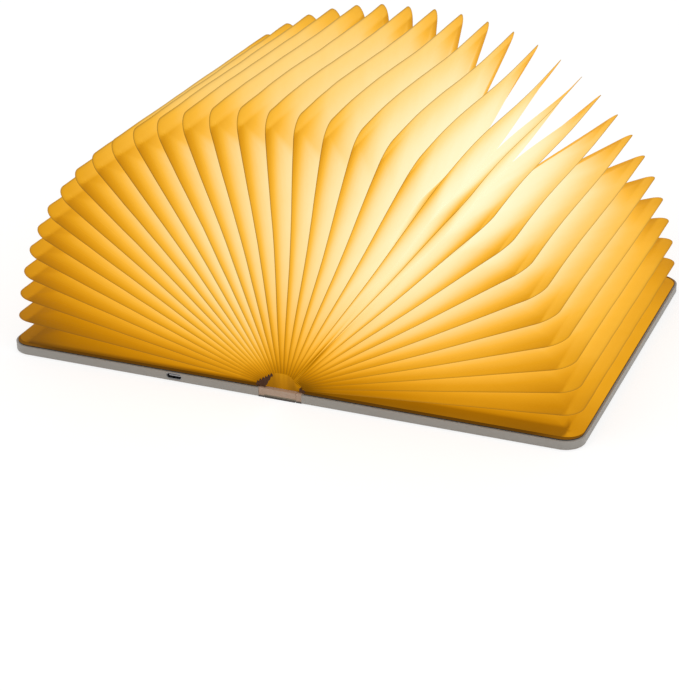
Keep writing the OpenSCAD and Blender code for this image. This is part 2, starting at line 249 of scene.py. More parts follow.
class EffectGroup:
    """A shader node group that several materials share, built once."""

    name = "effect"
    inputs: dict[str, float] = {}
    outputs: dict[str, str] = {}

    @classmethod
    def tree(cls) -> bpy.types.NodeTree:
        """Builds the group's node tree the first time it is asked for.

        Returns:
            The node tree.
        """
        found = bpy.data.node_groups.get(cls.name)
        if found:
            return found
        tree = bpy.data.node_groups.new(cls.name, "ShaderNodeTree")
        for label, start in cls.inputs.items():
            socket = tree.interface.new_socket(name=label, in_out="INPUT", socket_type=NUMBER)
            socket.default_value = start
        for label, kind in cls.outputs.items():
            tree.interface.new_socket(name=label, in_out="OUTPUT", socket_type=kind)
        graph = Graph(tree)
        source, target = graph.add("NodeGroupInput"), graph.add("NodeGroupOutput")
        graph.feed(target, cls.build(graph, source.outputs))
        return tree

    @classmethod
    def build(cls, graph: Graph, given: Sockets) -> dict[str, Socket]:
        """Fills the group; each effect has its own.

        Args:
            graph: The group's node tree.
            given: The group's input sockets.

        Returns:
            Output name to socket.
        """
        raise NotImplementedError

    @classmethod
    def place(cls, graph: Graph, **values: Feed) -> Sockets:
        """Puts the group into a material.

        Args:
            graph: The material's node tree.
            **values: Input name, with _ for a space, to a value or socket.

        Returns:
            The group's output sockets.
        """
        node = graph.add("ShaderNodeGroup", node_tree=cls.tree())
        spaced = {label.replace("_", " "): value for label, value in values.items()}
        return graph.feed(node, spaced).outputs


class PaperFibre(EffectGroup):
    """Cloudy formation and fine fibres of the spun paper."""

    name = "Paper Fibre"
    inputs = {"Cloud Scale": 60.0, "Fibre Scale": 900.0}
    outputs = {"Cloud": NUMBER, "Height": NUMBER}

    @classmethod
    def build(cls, graph: Graph, given: Sockets) -> dict[str, Socket]:
        """Mixes a cloud noise with a noise of long fibres.

        Args:
            graph: The group's node tree.
            given: The group's input sockets.

        Returns:
            Output name to socket.
        """
        cloud = graph.noise(given["Cloud Scale"], 4.0, 0.6)
        fibre = graph.noise(given["Fibre Scale"], 2.0, stretch=(1.0, 0.12, 1.0))
        height = graph.math("MULTIPLY_ADD", fibre, 0.7, graph.math("MULTIPLY", cloud, 0.6))
        return {"Cloud": cloud, "Height": height}


class LampGlow(EffectGroup):
    """Colour of the lit paper, from deep amber where little light comes through to cream."""

    name = "Lamp Glow"
    inputs = {"Glow": 0.5, "Cloud": 0.5, "Mottle": 0.03}
    outputs = {"Light": COLOUR, "Paper": COLOUR}
    stops = {0.00: (70, 42, 0), 0.10: (108, 68, 1), 0.22: (143, 93, 2), 0.33: (178, 118, 4),
             0.45: (208, 143, 10), 0.57: (232, 168, 30), 0.68: (250, 191, 62),
             0.74: (254, 203, 94), 0.80: (254, 215, 130), 0.86: (255, 227, 160),
             0.92: (255, 239, 190), 1.00: (255, 253, 226)}

    @classmethod
    def build(cls, graph: Graph, given: Sockets) -> dict[str, Socket]:
        """Runs the glow, a little mottled, along one colour ramp.

        Args:
            graph: The group's node tree.
            given: The group's input sockets.

        Returns:
            Output name to socket.
        """
        cloud = graph.math("SUBTRACT", given["Cloud"], 0.5)
        shift = graph.math("MULTIPLY", cloud, given["Mottle"])
        light = graph.ramp(graph.math("ADD", given["Glow"], shift, clamp=True), cls.stops)
        # The paper's base colour is the glow's colour darkened: painted light, lighter where more light
        # comes through.
        paper = graph.mix(1.0, light, (0.26, 0.25, 0.20, 1.0), "MULTIPLY")
        return {"Light": light, "Paper": paper}


class Wear(EffectGroup):
    """Soft scuffs and dust that lighten or dull a surface in patches."""

    name = "Handling Wear"
    inputs = {"Scale": 40.0, "Amount": 0.3}
    outputs = {"Mask": NUMBER, "Roughness": NUMBER}

    @classmethod
    def build(cls, graph: Graph, given: Sockets) -> dict[str, Socket]:
        """Turns two noises into a mask and a change of roughness.

        Args:
            graph: The group's node tree.
            given: The group's input sockets.

        Returns:
            Output name to socket.
        """
        broad = graph.noise(given["Scale"], 5.0, 0.65)
        patch = graph.add("ShaderNodeMapRange", {0: broad, 1: 0.45, 2: 0.75}).outputs[0]
        mask = graph.math("MULTIPLY", patch, given["Amount"])
        rough = graph.math("MULTIPLY_ADD", graph.noise(1400.0, 2.0), 0.12,
                           graph.math("MULTIPLY", mask, 0.4))
        return {"Mask": mask, "Roughness": rough}


class Grain(EffectGroup):
    """Moulded or pressed grain: small rounded cells with fine noise over them."""

    name = "Surface Grain"
    inputs = {"Scale": 900.0, "Cells": 0.5}
    outputs = {"Height": NUMBER}

    @classmethod
    def build(cls, graph: Graph, given: Sockets) -> dict[str, Socket]:
        """Mixes cell distances with noise.

        Args:
            graph: The group's node tree.
            given: The group's input sockets.

        Returns:
            Output name to socket.
        """
        cells = graph.add("ShaderNodeTexVoronoi", {"Vector": graph.coordinates(),
                                                   "Scale": given["Scale"]})
        noise = graph.noise(given["Scale"], 3.0, 0.5)
        mixed = graph.add("ShaderNodeMix", {0: given["Cells"], 2: noise, 3: cells.outputs[0]})
        return {"Height": mixed.outputs[0]}


# ---- finishes


@dataclass(frozen=True)
class Finish:
    """A finish of the lamp: its material's name, the slot it belongs to and its shader.

    The grain is in grains per metre, its depth in metres, and variety says how far soft
    patches darken the colour. Sockets holds what else is set on the shader.
    """

    name: str
    slot: str
    colour: tuple
    roughness: float = 0.5
    sockets: dict = field(default_factory=dict)
    grain: float = 700.0
    depth: float = 0.00004
    variety: float = 0.12

    def material(self) -> bpy.types.Material:
        """Builds the finish's material the first time it is asked for.

        Returns:
            The material.
        """
        found = bpy.data.materials.get(self.name)
        if found:
            return found
        made = bpy.data.materials.new(self.name)
        made.use_nodes = True
        made.node_tree.nodes.clear()
        graph = Graph(made.node_tree)
        shader = graph.add("ShaderNodeBsdfPrincipled")
        graph.add("ShaderNodeOutputMaterial", {0: shader.outputs[0]})
        graph.feed(shader, {"Base Color": self.colour, "Roughness": self.roughness})
        graph.feed(shader, self.paint(graph))
        graph.feed(shader, self.sockets)
        made.diffuse_color = self.colour
        return made

    def paint(self, graph: Graph) -> dict[str, Feed]:
        """Gives the colour soft patches, uneven gloss and a fine grain.

        Args:
            graph: The material's node tree.

        Returns:
            The shader's socket names to what feeds them.
        """
        wear = Wear.place(graph, Scale=60.0, Amount=self.variety)
        dark = tuple(c * 0.7 for c in self.colour[:3]) + (1.0,)
        rough = graph.math("ADD", wear["Roughness"], self.roughness - 0.06, clamp=True)
        return {"Base Color": graph.mix(wear["Mask"], self.colour, dark), "Roughness": rough,
                "Normal": self.bump(graph, self.texture(graph), self.depth)}

    def texture(self, graph: Graph) -> Socket:
        """Height of the surface's fine grain."""
        return Grain.place(graph, Scale=self.grain)["Height"]

    @staticmethod
    def bump(graph: Graph, height: Socket, depth: float) -> Socket:
        """A normal that is bumped by a height, over a depth in metres."""
        return graph.add("ShaderNodeBump", {"Height": height, "Distance": depth,
                                            "Strength": 1.0}).outputs[0]


@dataclass(frozen=True)
class LitPaper(Finish):
    """Spun paper with the lamp's light coming through it."""

    def paint(self, graph: Graph) -> dict[str, Feed]:
        """Reads the glow that each point of the paper was given.

        Args:
            graph: The material's node tree.

        Returns:
            The shader's socket names to what feeds them.
        """
        fibre = PaperFibre.place(graph)
        lamp = LampGlow.place(graph, Glow=graph.mark("Glow"), Cloud=fibre["Cloud"], Mottle=0.035)
        edge = graph.mark("Edge")
        dim = graph.mix(1.0, lamp["Light"], (0.30, 0.28, 0.20, 1.0), "MULTIPLY")
        # The base colour follows the glow's colour, so it carries painted light.
        return {"Base Color": graph.mix(edge, lamp["Paper"], self.colour),
                "Emission Color": graph.mix(edge, lamp["Light"], dim),
                "Emission Strength": 0.76, "Specular IOR Level": 0.12,
                "Normal": self.bump(graph, fibre["Height"], 0.00012)}


@dataclass(frozen=True)
class Metal(Finish):
    """Bare or plated metal with fine drawn lines, stretched along X, Y and Z by brush."""

    sockets: dict = field(default_factory=lambda: {"Metallic": 1.0})
    depth: float = 0.00001
    variety: float = 0.1
    brush: tuple = (1.0, 1.0, 1.0)

    def texture(self, graph: Graph) -> Socket:
        """Height of the drawn lines."""
        return graph.noise(2500.0, 2.0, stretch=self.brush)


@dataclass(frozen=True)
class Leatherette(Finish):
    """Embossed leatherette: dark ground, with rubbed metal colours on what stands up."""

    def paint(self, graph: Graph) -> dict[str, Feed]:
        """Reads the relief's height and tone at each point.

        Args:
            graph: The material's node tree.

        Returns:
            The shader's socket names to what feeds them.
        """
        height, rim = graph.mark("Relief"), graph.mark("Rim")
        patch, fine = graph.noise(15.0, 5.0, 0.62), graph.noise(420.0, 4.0, 0.7)
        worn = graph.math("MULTIPLY_ADD", graph.math("SUBTRACT", fine, 0.5), 0.35, height)
        ground = graph.ramp(patch, {0.30: (10, 13, 24), 0.45: (19, 17, 18),
                                    0.56: (46, 26, 15), 0.72: (82, 44, 22)})
        hue = graph.math("MULTIPLY_ADD", graph.math("SUBTRACT", patch, 0.5), 0.9,
                         graph.mark("Tone"))
        rubbed = graph.ramp(hue, {0.0: (164, 166, 172), 0.26: (176, 160, 150),
                                  0.42: (150, 104, 80), 0.60: (136, 68, 34),
                                  0.78: (146, 104, 44), 1.0: (190, 152, 70)})
        mask = graph.add("ShaderNodeMapRange", {0: worn, 1: 0.34, 2: 1.0}).outputs[0]
        mask = graph.math("POWER", mask, 1.5)
        bare = graph.math("SUBTRACT", 0.6, rim, clamp=True)
        matt = graph.math("MULTIPLY_ADD", fine, 0.2, 0.42)
        grain = Grain.place(graph, Scale=1100.0, Cells=0.7)["Height"]
        pores = graph.math("MULTIPLY_ADD", fine, 0.5, grain)
        lift = graph.math("MULTIPLY_ADD", height, 7.0, pores)
        return {"Base Color": graph.mix(rim, graph.mix(mask, ground, rubbed),
                                        srgb(150, 143, 136)),
                "Metallic": graph.math("MULTIPLY", mask, bare),
                "Roughness": graph.math("MULTIPLY_ADD", mask, -0.18, matt),
                "Specular IOR Level": 0.22, "Normal": self.bump(graph, lift, 0.00009)}


def shine(light: tuple, strength: float) -> dict[str, Feed]:
    """Shader sockets of a part that shines by itself."""
    return {"Emission Color": light, "Emission Strength": strength}


class Finishes:
    """Every finish of the lamp."""

    PAPER = LitPaper("lit_paper", "bellows_paper", srgb(120, 92, 44), 0.82)
    HEM = LitPaper("lit_hem", "page_hem", srgb(104, 80, 38), 0.82)
    LEAF = LitPaper("lit_end_leaf", "pasted_paper", srgb(90, 66, 30), 0.85)
    TAPE = LitPaper("lit_tape", "tape_paper", srgb(120, 84, 30), 0.85)
    SKIN = Leatherette("embossed_leatherette", "leatherette", srgb(40, 34, 32), 0.45)
    # The turned leatherette's dark brown is partly its own colour and partly painted shade of the gap at the
    # hinge's ends.
    FOLD = Finish("turned_leatherette_gap_shade", "leatherette", srgb(66, 36, 12), 0.95)
    HOUSING = Finish("grey_housing", "housing", srgb(143, 139, 133), 0.46)
    PANEL = Finish("dark_panel_satin", "dark_panel", srgb(13, 11, 9), 0.42)
    BOARD = Finish("grey_board", "board", srgb(140, 130, 112), 0.8)
    CHANNEL = Finish("beige_channel", "channel_plastic", srgb(162, 138, 119), 0.42)
    STRIP = Finish("white_strip", "strip_board", srgb(235, 234, 228), 0.35)
    DIODE = Finish("diode_phosphor", "diode", srgb(250, 220, 120), 0.25,
                   shine(srgb(255, 226, 170), 3.0))
    LENS = Finish("frosted_lens", "lens", srgb(246, 238, 218), 0.5,
                  shine(srgb(255, 214, 140), 1.6))
    FILM = Finish("amber_film", "cable_film", srgb(196, 112, 36), 0.3)
    NICKEL = Metal("nickel_magnet", "magnet", srgb(196, 197, 198), 0.22)
    FOIL = Metal("foil_cell", "cell", srgb(190, 192, 196), 0.34, brush=(1.0, 0.05, 1.0))
    CIRCUIT = Finish("green_circuit", "circuit_board", srgb(22, 92, 48), 0.3)
    STEEL = Metal("drawn_steel", "shell_steel", srgb(150, 150, 152), 0.3, brush=(1.0, 0.05, 1.0))
    REED = Finish("reed_tube", "reed_glass", srgb(170, 205, 190), 0.08,
                  {"Transmission Weight": 0.8, "IOR": 1.49}, 800.0, 0.00002, 0.05)


# ---- meshes


def points_at(x: Numbers, y: Numbers, z: Numbers) -> Array:
    """Points from their coordinates, any of which may be one plain number."""
    return np.stack(np.broadcast_arrays(x, y, z), -1)


def ease(values: Numbers) -> Numbers:
    """Smooth step of values between 0 and 1."""
    t = np.clip(values, 0, 1)
    return t * t * (3 - 2 * t)


def between(ends: tuple[float, float], share: Numbers) -> Numbers:
    """Value between a pair, at a share of the way from the first to the second."""
    return ends[0] * (1 - share) + ends[1] * share


def waves(seed: int, places: Array, count: int, longest: float) -> Array:
    """A smooth wavering line, the same each time for the same seed.

    Args:
        seed: Which line.
        places: Where along the line to read it.
        count: Number of waves that are added up.
        longest: Length of the longest wave, in the unit of places.

    Returns:
        Values of about -1 to 1.
    """
    chance = np.random.default_rng(abs(seed) * 2 + (seed < 0))
    total = np.zeros_like(places)
    for k in range(count):
        length = longest / (1.0 + 0.9 * k)
        total += chance.normal() / (1 + 0.6 * k) * np.sin(
            2 * math.pi * (places / length + chance.random()))
    return total / 1.6


@dataclass
class Mesh:
    """Points and faces of one piece, in millimetres, with values at each point."""

    points: list = field(default_factory=list)
    faces: list = field(default_factory=list)
    values: dict = field(default_factory=dict)

    def add_points(self, points: Array, values: dict[str, Numbers]) -> int:
        """Adds points.

        Args:
            points: Any number of rows and columns, by 3.
            values: Value name to one number or to one for each point.

        Returns:
            The number of the first new point.
        """
        first = sum(len(p) for p in self.points)
        self.points.append(points.reshape(-1, 3))
        for name, value in values.items():
            spread = np.broadcast_to(np.asarray(value, float), points.shape[:-1])
            self.values.setdefault(name, []).append(spread.reshape(-1))
        return first

    def add_faces(self, faces: Array, flip: bool) -> None:
        """Adds faces, turned over where flip is true."""
        self.faces.append(faces[:, ::-1] if flip else faces)

    def grid(self, points: Array, flip: bool, values: dict[str, Numbers]) -> int:
        """Adds a grid of quads.

        Args:
            points: Rows by columns by 3.
            flip: True to turn the faces over.
            values: Value name to one number or to rows by columns.

        Returns:
            The number of the grid's first point.
        """
        rows, columns = points.shape[:2]
        first = self.add_points(points, values)
        index = first + np.arange(rows * columns).reshape(rows, columns)
        quads = np.stack([index[:-1, :-1], index[:-1, 1:], index[1:, 1:], index[1:, :-1]], -1)
        self.add_faces(quads.reshape(-1, 4), flip)
        return first

    @staticmethod
    def rim(points: Array) -> Array:
        """Numbers of a grid's outer points, once round."""
        index = np.arange(points.shape[0] * points.shape[1]).reshape(points.shape[:2])
        return np.concatenate([index[0], index[1:, -1], index[-1, -2::-1], index[-2:0:-1, 0]])

    def shell(self, top: Array, bottom: Array, flip: bool,
              values: dict[str, Numbers] | None = None,
              below: dict[str, Numbers] | None = None) -> None:
        """Adds a closed thin solid from its two skins.

        Args:
            top: Upper skin, rows by columns by 3.
            bottom: Lower skin, of the same shape.
            flip: True where the skins are mirrored.
            values: Value name to one number or to rows by columns.
            below: The same for the lower skin, where it differs.
        """
        values = values or {}
        a = self.grid(top, flip, values)
        b = self.grid(bottom, not flip, below or values)
        line = self.rim(top)
        following = np.roll(line, -1)
        self.add_faces(np.stack([a + line, b + line, b + following, a + following], -1), flip)

    def piece(self, name: str, finish: Finish, sharp: float = 50.0) -> Piece:
        """Makes the Blender object.

        Args:
            name: The piece's name.
            finish: The finish it wears.
            sharp: Edges sharper than this many degrees stay sharp.

        Returns:
            The new object, with its finish's material.
        """
        points = np.vstack(self.points) * MM
        data = bpy.data.meshes.new(name)
        faces = [f for block in self.faces for f in block.tolist()]
        data.from_pydata(points.tolist(), [], faces)
        for label, blocks in self.values.items():
            attribute = data.attributes.new(label, "FLOAT", "POINT")
            attribute.data.foreach_set("value", np.concatenate(blocks).astype(np.float32))
        data.validate()
        data.shade_smooth()
        data.set_sharp_from_angle(angle=math.radians(sharp))
        data.materials.append(finish.material())
        made = bpy.data.objects.new(name, data)
        bpy.context.scene.collection.objects.link(made)
        return made


def bend(piece: Piece, side: Side, near: float, far: float,
         share: Array | None = None) -> Piece:
    """Lets a piece bend between the spine and a cover.

    Args:
        piece: The piece.
        side: Which half.
        near: Distance from the middle up to which it stays with the spine.
        far: Distance from the middle beyond which it follows the cover.
        share: The cover's share at each point, or None for an even change.

    Returns:
        The same piece.
    """
    start, end = ((side.value * reach * MM, 0, AXIS_Z * MM) for reach in (near, far))
    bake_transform(piece, "spine", side.cover, start, end)
    if share is not None:
        weights = piece.data.attributes["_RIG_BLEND"].data
        weights.foreach_set("value", share.astype(np.float32))
    return piece


# ---- the paper bellows


@dataclass(frozen=True)
class Fan:
    """Sizes of the fan of pages and of the covers that carry it."""

    pages: int = 16
    page_root: float = 3.0
    page_reach: float = 151.5
    page_end: float = 104.5
    page_corner_r: float = 10.0
    hem_w: float = 8.0
    fold_depth: float = 48.0
    fold_corner_r: float = 6.0
    sheet_t: float = 0.12
    leaf_offset: float = 2.85
    sheet_off: float = 0.1
    fold_off: float = 0.055
    glue_off: float = 0.27
    lean: float = 1.0
    sag_left: float = 2.0
    sag_right: float = 3.3

    @property
    def leaf_place(self) -> float:
        """Place of the pasted paper in the fan."""
        return self.pages + 0.5

    def angle(self, place: float, side: Side) -> float:
        """Lean of the page plane at a place of one half.

        Args:
            place: Place in the fan, from 0 in the middle.
            side: Which half.

        Returns:
            Degrees from upright.
        """
        if place == 0:
            return 0.0
        share = place / self.leaf_place
        sag = self.sag_left if side is Side.LEFT else self.sag_right
        return (90 * share + side.value * self.lean * (1 - share)
                + sag * math.sin(math.pi * share))

    def offset(self, place: float) -> float:
        """Distance of the page plane at a place from its hinge axis."""
        return AXIS_X + (self.leaf_offset - AXIS_X) * place / self.leaf_place

    def from_edge(self, flat: Array) -> tuple[Array, Array]:
        """Distances from the page's ends and from its fore-edge, of points in its plane."""
        return self.page_end - np.abs(flat[..., 1]), self.page_reach - flat[..., 0]

    def outline(self, inset: float, radius: float) -> Array:
        """U-shaped outline of a page in its own plane, set back from its edge.

        Args:
            inset: How far the line is set back.
            radius: Radius of its two corners.

        Returns:
            Points as reach and y, from the front root to the back root.
        """
        reach, end = self.page_reach - inset, self.page_end - inset
        even = np.linspace(0, 1, 17)
        straight = ease(even) * 0.35 + even * 0.65
        arc = np.linspace(0, math.pi / 2, 9)[1:]
        side = np.linspace(0, 1, 27)[1:]
        front = [(self.page_root + (reach - radius - self.page_root) * t, -end) for t in straight]
        turn = [(reach - radius + radius * math.sin(a), -end + radius - radius * math.cos(a))
                for a in arc]
        fore = [(reach, -end + radius + 2 * (end - radius) * t) for t in side]
        back = np.array((front + turn)[::-1][1:]) * np.array([1, -1])
        return np.vstack([front + turn + fore, back])

    def skins(self, flat: Array, angle: Numbers, offset: Array, side: Side,
              lift: Numbers) -> list[Array]:
        """Puts the two skins of a sheet in space.

        Args:
            flat: Reach and y of each point in the page's plane.
            angle: Degrees from upright.
            offset: Distance of the sheet's middle from the hinge axis.
            side: Which half.
            lift: Distance of each skin from the sheet's middle.

        Returns:
            Points of both skins in the lamp's frame.
        """
        a = np.radians(angle)
        reach, y = flat[..., 0], flat[..., 1]
        made = []
        for level in (offset + lift, offset - lift):
            x = AXIS_X + reach * np.sin(a) - level * np.cos(a)
            z = AXIS_Z + reach * np.cos(a) + level * np.sin(a)
            made.append(points_at(side.value * x, y, z))
        return made


@dataclass
class LampLight:
    """How much of the strip's light reaches the paper and comes through it.

    A pair holds a value for the left and one for the right cover's side of the fan.
    """

    height: float = 13.0
    reach: float = 206.0
    tilt: float = 0.054
    horizon: float = 0.002
    sideways: float = 0.033
    upward: float = 0.357
    grazing: float = 0.79
    stray: float = 0.145
    stray_loss: float = 0.8
    corner_loss: float = 0.615
    corner_side: float = 0.075
    corner_from: float = 55.0
    corner_over: float = 50.0
    corner_reach: float = 150.0
    band: float = 9.0
    band_edge: float = 1.6
    band_relief: float = 0.5
    root_shade: float = 0.62
    root_reach: float = 11.0
    inner_reach: float = 85.0
    inner_shade: float = 0.14
    inner_gain: float = 0.40
    inner_span: float = 0.6
    pleat: float = 0.1
    pleat_from: float = 12.0
    mitre: float = 12.0
    right_start: float = 0.05
    right_span: float = 0.75
    opening: tuple = (1.0, 2.0)
    end_level: tuple = (0.99, 1.34)
    end_gain: tuple = (1.24, 1.0)
    fore_level: tuple = (1.0, 1.15)
    fore_gain: tuple = (0.35, 1.4)
    film: float = 2.0

    def depth(self, inset: Array, radial: Array, across: Array,
              right: Array) -> Array:
        """Factor by which the paper brightens from a page's edge into the pleat.

        Args:
            inset: Distance from the page's edge.
            radial: Distance from the hinge axis.
            across: 1 where the paper faces an end of the book, 0 where it faces outward.
            right: 0 on the left cover's side to 1 on the right cover's side.

        Returns:
            The factor.
        """
        mouth = self.pleat * np.clip(radial, self.pleat_from, None)
        share = np.clip(inset, 0, None) / mouth / between(self.opening, right)
        rise = 1 - np.exp(-share ** 2)
        ends = across * between(self.end_level, right) * (1 + between(self.end_gain, right) * rise)
        return ends + (1 - across) * between(self.fore_level, right) * (
            1 + between(self.fore_gain, right) * rise)

    def glow(self, points: Array, to_end: Array, to_edge: Array) -> Array:
        """Share of light that shows at each point.

        Args:
            points: Points in the lamp's frame.
            to_end: Distance from the nearer end of the page.
            to_edge: Distance from the page's fore-edge.

        Returns:
            Glow from 0 to 1.
        """
        across = ease((to_edge - to_end) / self.mitre + 0.5)
        x, y, z = points[..., 0], points[..., 1], points[..., 2]
        rise = z - self.height
        distance = np.sqrt(x * x + y * y + rise * rise) + 1e-6
        up = (x * math.sin(self.tilt) + rise * math.cos(self.tilt)) / distance
        up = (up + np.sqrt(up * up + self.horizon)) / 2
        radial = np.hypot(np.abs(x) - AXIS_X, z - AXIS_Z) + 1e-6
        toward = x / (radial + AXIS_X)
        outward = (np.abs(x) * (np.abs(x) - AXIS_X) + rise * (z - AXIS_Z)) / (radial * distance)
        facing = across * np.abs(y) / distance + (1 - across) * np.clip(outward, 0, 1)
        corner = (np.clip((np.abs(y) - self.corner_from) / self.corner_over, 0, 1)
                  * np.clip(radial / self.corner_reach, 0, 1) ** 2)
        loss = (self.corner_loss - self.corner_side * toward) * corner
        loss = loss * (1 - self.band_relief * ease((self.band - to_edge) / self.band_edge))
        root = 1 - self.root_shade * np.exp(-(radial / self.root_reach) ** 2)
        inner = self.inner_shade + self.inner_gain * ease((toward + self.inner_span) / self.inner_span)
        root = root * (1 - inner * np.exp(-(radial / self.inner_reach) ** 2))
        direct = self.sideways + (1 - self.sideways) * np.clip(up, 0, 1) ** self.upward
        right = ease((toward + self.right_start) / self.right_span)
        value = (direct * root / (1 + (distance / self.reach) ** 2)
                 * self.depth(np.minimum(to_end, to_edge), radial, across, right)
                 * (self.grazing + (1 - self.grazing) * facing) * (1 - loss))
        value = value + self.stray * root * (1 - self.stray_loss * loss)
        return np.clip(1 - np.exp(-self.film * value), 0, 1)


@dataclass
class Bellows:
    """The paper bellows: page hems that ride on the pages, and the sheets between them.

    Each ripple is its height, its pace along the reach and along y, and its start. Each
    shadow is its width at the book's ends, its factor there and its factor at the fore-edge.
    """

    fan: Fan = field(default_factory=Fan)
    light: LampLight = field(default_factory=LampLight)
    billow: float = 0.5
    waver: float = 0.22
    swell: float = 0.35
    puff: float = 0.3
    puff_share: float = 0.6
    wave_height: float = 1.3
    ripples: tuple = ((0.9, 5.2, 1.7, 0.6), (0.6, -2.2, 3.6, 1.9), (0.35, 8.5, -4.6, 0.0))
    hem_insets: tuple = (0.0, 0.25, 1.0, 2.6, 4.6, 6.6, 8.0)
    hem_thickness: tuple = (0.35, 0.9, 1.0, 1.0, 1.0, 1.0, 1.0)
    hem_rims: tuple = (0.85, 0.62, 0.12, 0.0, 0.0, 0.0, 0.0)
    hem_waver: float = 0.12
    hem_waves: tuple = (70.0, 60.0)
    waver_wave: float = 170.0
    swell_wave: float = 150.0
    sheet_rows: tuple = (0, 0.03, 0.1, 0.2, 0.32, 0.45, 0.58, 0.7, 0.81, 0.9, 0.97, 1.0)
    glued_insets: tuple = (0.4, 1.2, 4.5)
    shadows: dict = field(default_factory=lambda: {Side.LEFT: (3.0, 0.5, 0.85),
                                                   Side.RIGHT: (11.0, 0.66, 1.12)})

    def build(self) -> list[Piece]:
        """Makes the hems and sheets of both halves.

        Returns:
            The pieces.
        """
        made = []
        for side in Side:
            made += [self.hem(side, page) for page in range(1, self.fan.pages + 1)]
            made.append(self.sheets(side))
        return made

    def ripple(self, flat: Array, place: Numbers, side: Side) -> Array:
        """How far the paper waves out of its plane, the same wave through the whole stack.

        Args:
            flat: Reach and y of each point.
            place: Place in the fan; the wave fades from the middle to the covers.
            side: Which half.

        Returns:
            Offsets in millimetres.
        """
        reach, y = flat[..., 0] / self.fan.page_reach, flat[..., 1] / self.fan.page_end
        wave = sum(height * np.sin(a * reach + b * y + start)
                   for height, a, b, start in self.ripples) * ease(reach * 1.15)
        return -side.value * self.wave_height * wave * (1 - place / self.fan.leaf_place)

    def hem(self, side: Side, page: int) -> Piece:
        """One page's glued hem, a thin U with a soft outer edge.

        Args:
            side: Which half.
            page: Number of the page, from the middle of the fan.

        Returns:
            The piece, riding on its page.
        """
        fan, place = self.fan, page - 0.5
        lines = []
        for inset in self.hem_insets:
            line = fan.outline(inset, fan.page_corner_r - inset)
            lines.append(line + self.hem_waver * (1 - inset / fan.hem_w) * np.stack([
                waves(page * 7 + side.value, line[:, 1], 4, self.hem_waves[0]),
                waves(page * 11 + side.value, line[:, 0], 4, self.hem_waves[1])], -1))
        flat = np.array(lines)
        level = fan.offset(place) + self.ripple(flat, place, side)
        lift = (np.array(self.hem_thickness) * fan.sheet_t)[:, None]
        skins = fan.skins(flat, fan.angle(place, side), level, side, lift)
        fade = 1 - 0.25 * ease((page - 6) / 8)
        rim = fade * np.array(self.hem_rims)[:, None] * ease(flat[..., 0] / 60)
        glow = self.light.glow(skins[0], *fan.from_edge(flat))
        mesh = Mesh()
        mesh.shell(*skins, side is Side.LEFT, {"Glow": glow, "Edge": rim})
        name = f"{side.word}_page_{page:02d}"
        piece = mesh.piece(f"{name}_hem", Finishes.HEM, 60.0)
        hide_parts(name)
        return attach(piece, name)

    def sheets(self, side: Side) -> Piece:
        """All the sheets of one half, which bend between the spine and the cover.

        Args:
            side: Which half.

        Returns:
            The piece, blended between the two bodies.
        """
        fan, mesh, turns = self.fan, Mesh(), []
        for page in range(1, fan.pages + 1):
            turns.append(self.sheet(mesh, side, page - 0.5, page - 1, 1))
            turns.append(self.sheet(mesh, side, page - 0.5, page, -1))
        turns.append(self.sheet(mesh, side, fan.leaf_place, fan.pages, 1))
        piece = mesh.piece(f"{side.word}_bellows_sheets", Finishes.PAPER, 60.0)
        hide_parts(f"{side.word}_sheets")
        return bend(piece, side, AXIS_X, AXIS_X * 2, np.concatenate(turns))

    def sheet(self, mesh: Mesh, side: Side, place: float, fold: int, toward: int) -> Array:
        """Adds one sheet, from a hem to an inner fold.

        Args:
            mesh: The mesh to add to.
            side: Which half.
            place: Place of the hem in the fan.
            fold: Place of the inner fold.
            toward: 1 for the sheet on the middle's side of its page, -1 for the other.

        Returns:
            The share of the cover's turn that each point makes.
        """
        fan, rows = self.fan, np.array(self.sheet_rows)
        outer = fan.outline(fan.hem_w, fan.page_corner_r - fan.hem_w)
        inner = fan.outline(fan.fold_depth, fan.fold_corner_r)
        flat = outer[None] * (1 - rows[:, None, None]) + inner[None] * rows[:, None, None]
        along = np.cumsum(np.r_[0, np.linalg.norm(np.diff(outer, axis=0), axis=1)])
        on_leaf = place == fan.leaf_place
        if on_leaf:
            glued = [fan.outline(inset, fan.page_corner_r - inset) for inset in self.glued_insets]
            flat = np.concatenate([glued, flat])
            rows = np.concatenate([np.zeros(len(glued)), rows])
        hem_off = fan.offset(place) + (fan.glue_off if on_leaf else toward * fan.sheet_off)
        fold_off = fan.offset(fold) - toward * fan.fold_off
        share = between((rows, ease(rows)), self.billow)[:, None]
        waver = self.waver * waves(fold * 13 + side.value, along, 4, self.waver_wave) * (fold > 0)
        swell = self.swell * waves(
            int(place * 26) + toward + 50 * side.value, along, 3, self.swell_wave)
        end = fan.angle(fold, side) + waver[None] * share
        puff = (toward * self.puff + swell[None]) * np.sin(math.pi * rows)[:, None]
        angle = fan.angle(place, side) * (1 - share) + end * share + puff * self.puff_share
        offset = between((hem_off, fold_off), share) + self.ripple(
            flat, between((place, fold), share), side)
        skins = fan.skins(flat, angle, offset, side, fan.sheet_t / 2)
        glow = self.light.glow(skins[0], *fan.from_edge(flat))
        if on_leaf:
            glow = glow * self.shade(flat, side)
        mesh.shell(*skins, side is Side.LEFT, {"Glow": glow})
        return np.tile((angle / 90).reshape(-1), 2)

    def shade(self, flat: Array, side: Side) -> Array:
        """How the lowest page's shadow darkens the glued sheet along both ends of the book.

        Args:
            flat: Reach and y of each point of the sheet.
            side: Which half.

        Returns:
            Factor on the glow.
        """
        to_end, to_edge = self.fan.from_edge(flat)
        wide, dark, fore = self.shadows[side]
        ends = (1 - ease((to_end - wide) / 1.5)) * ease((to_edge - self.fan.hem_w) / 1.2)
        return (1 - (1 - dark) * ends) * (1 + (fore - 1) * ease((30 - to_edge) / 20))


# ---- embossed leatherette


def dome(distance: Array, radius: Numbers) -> Array:
    """Round profile: 1 on the middle line, 0 at the radius and beyond."""
    return np.sqrt(np.clip(1 - (distance / radius) ** 2, 0, 1))


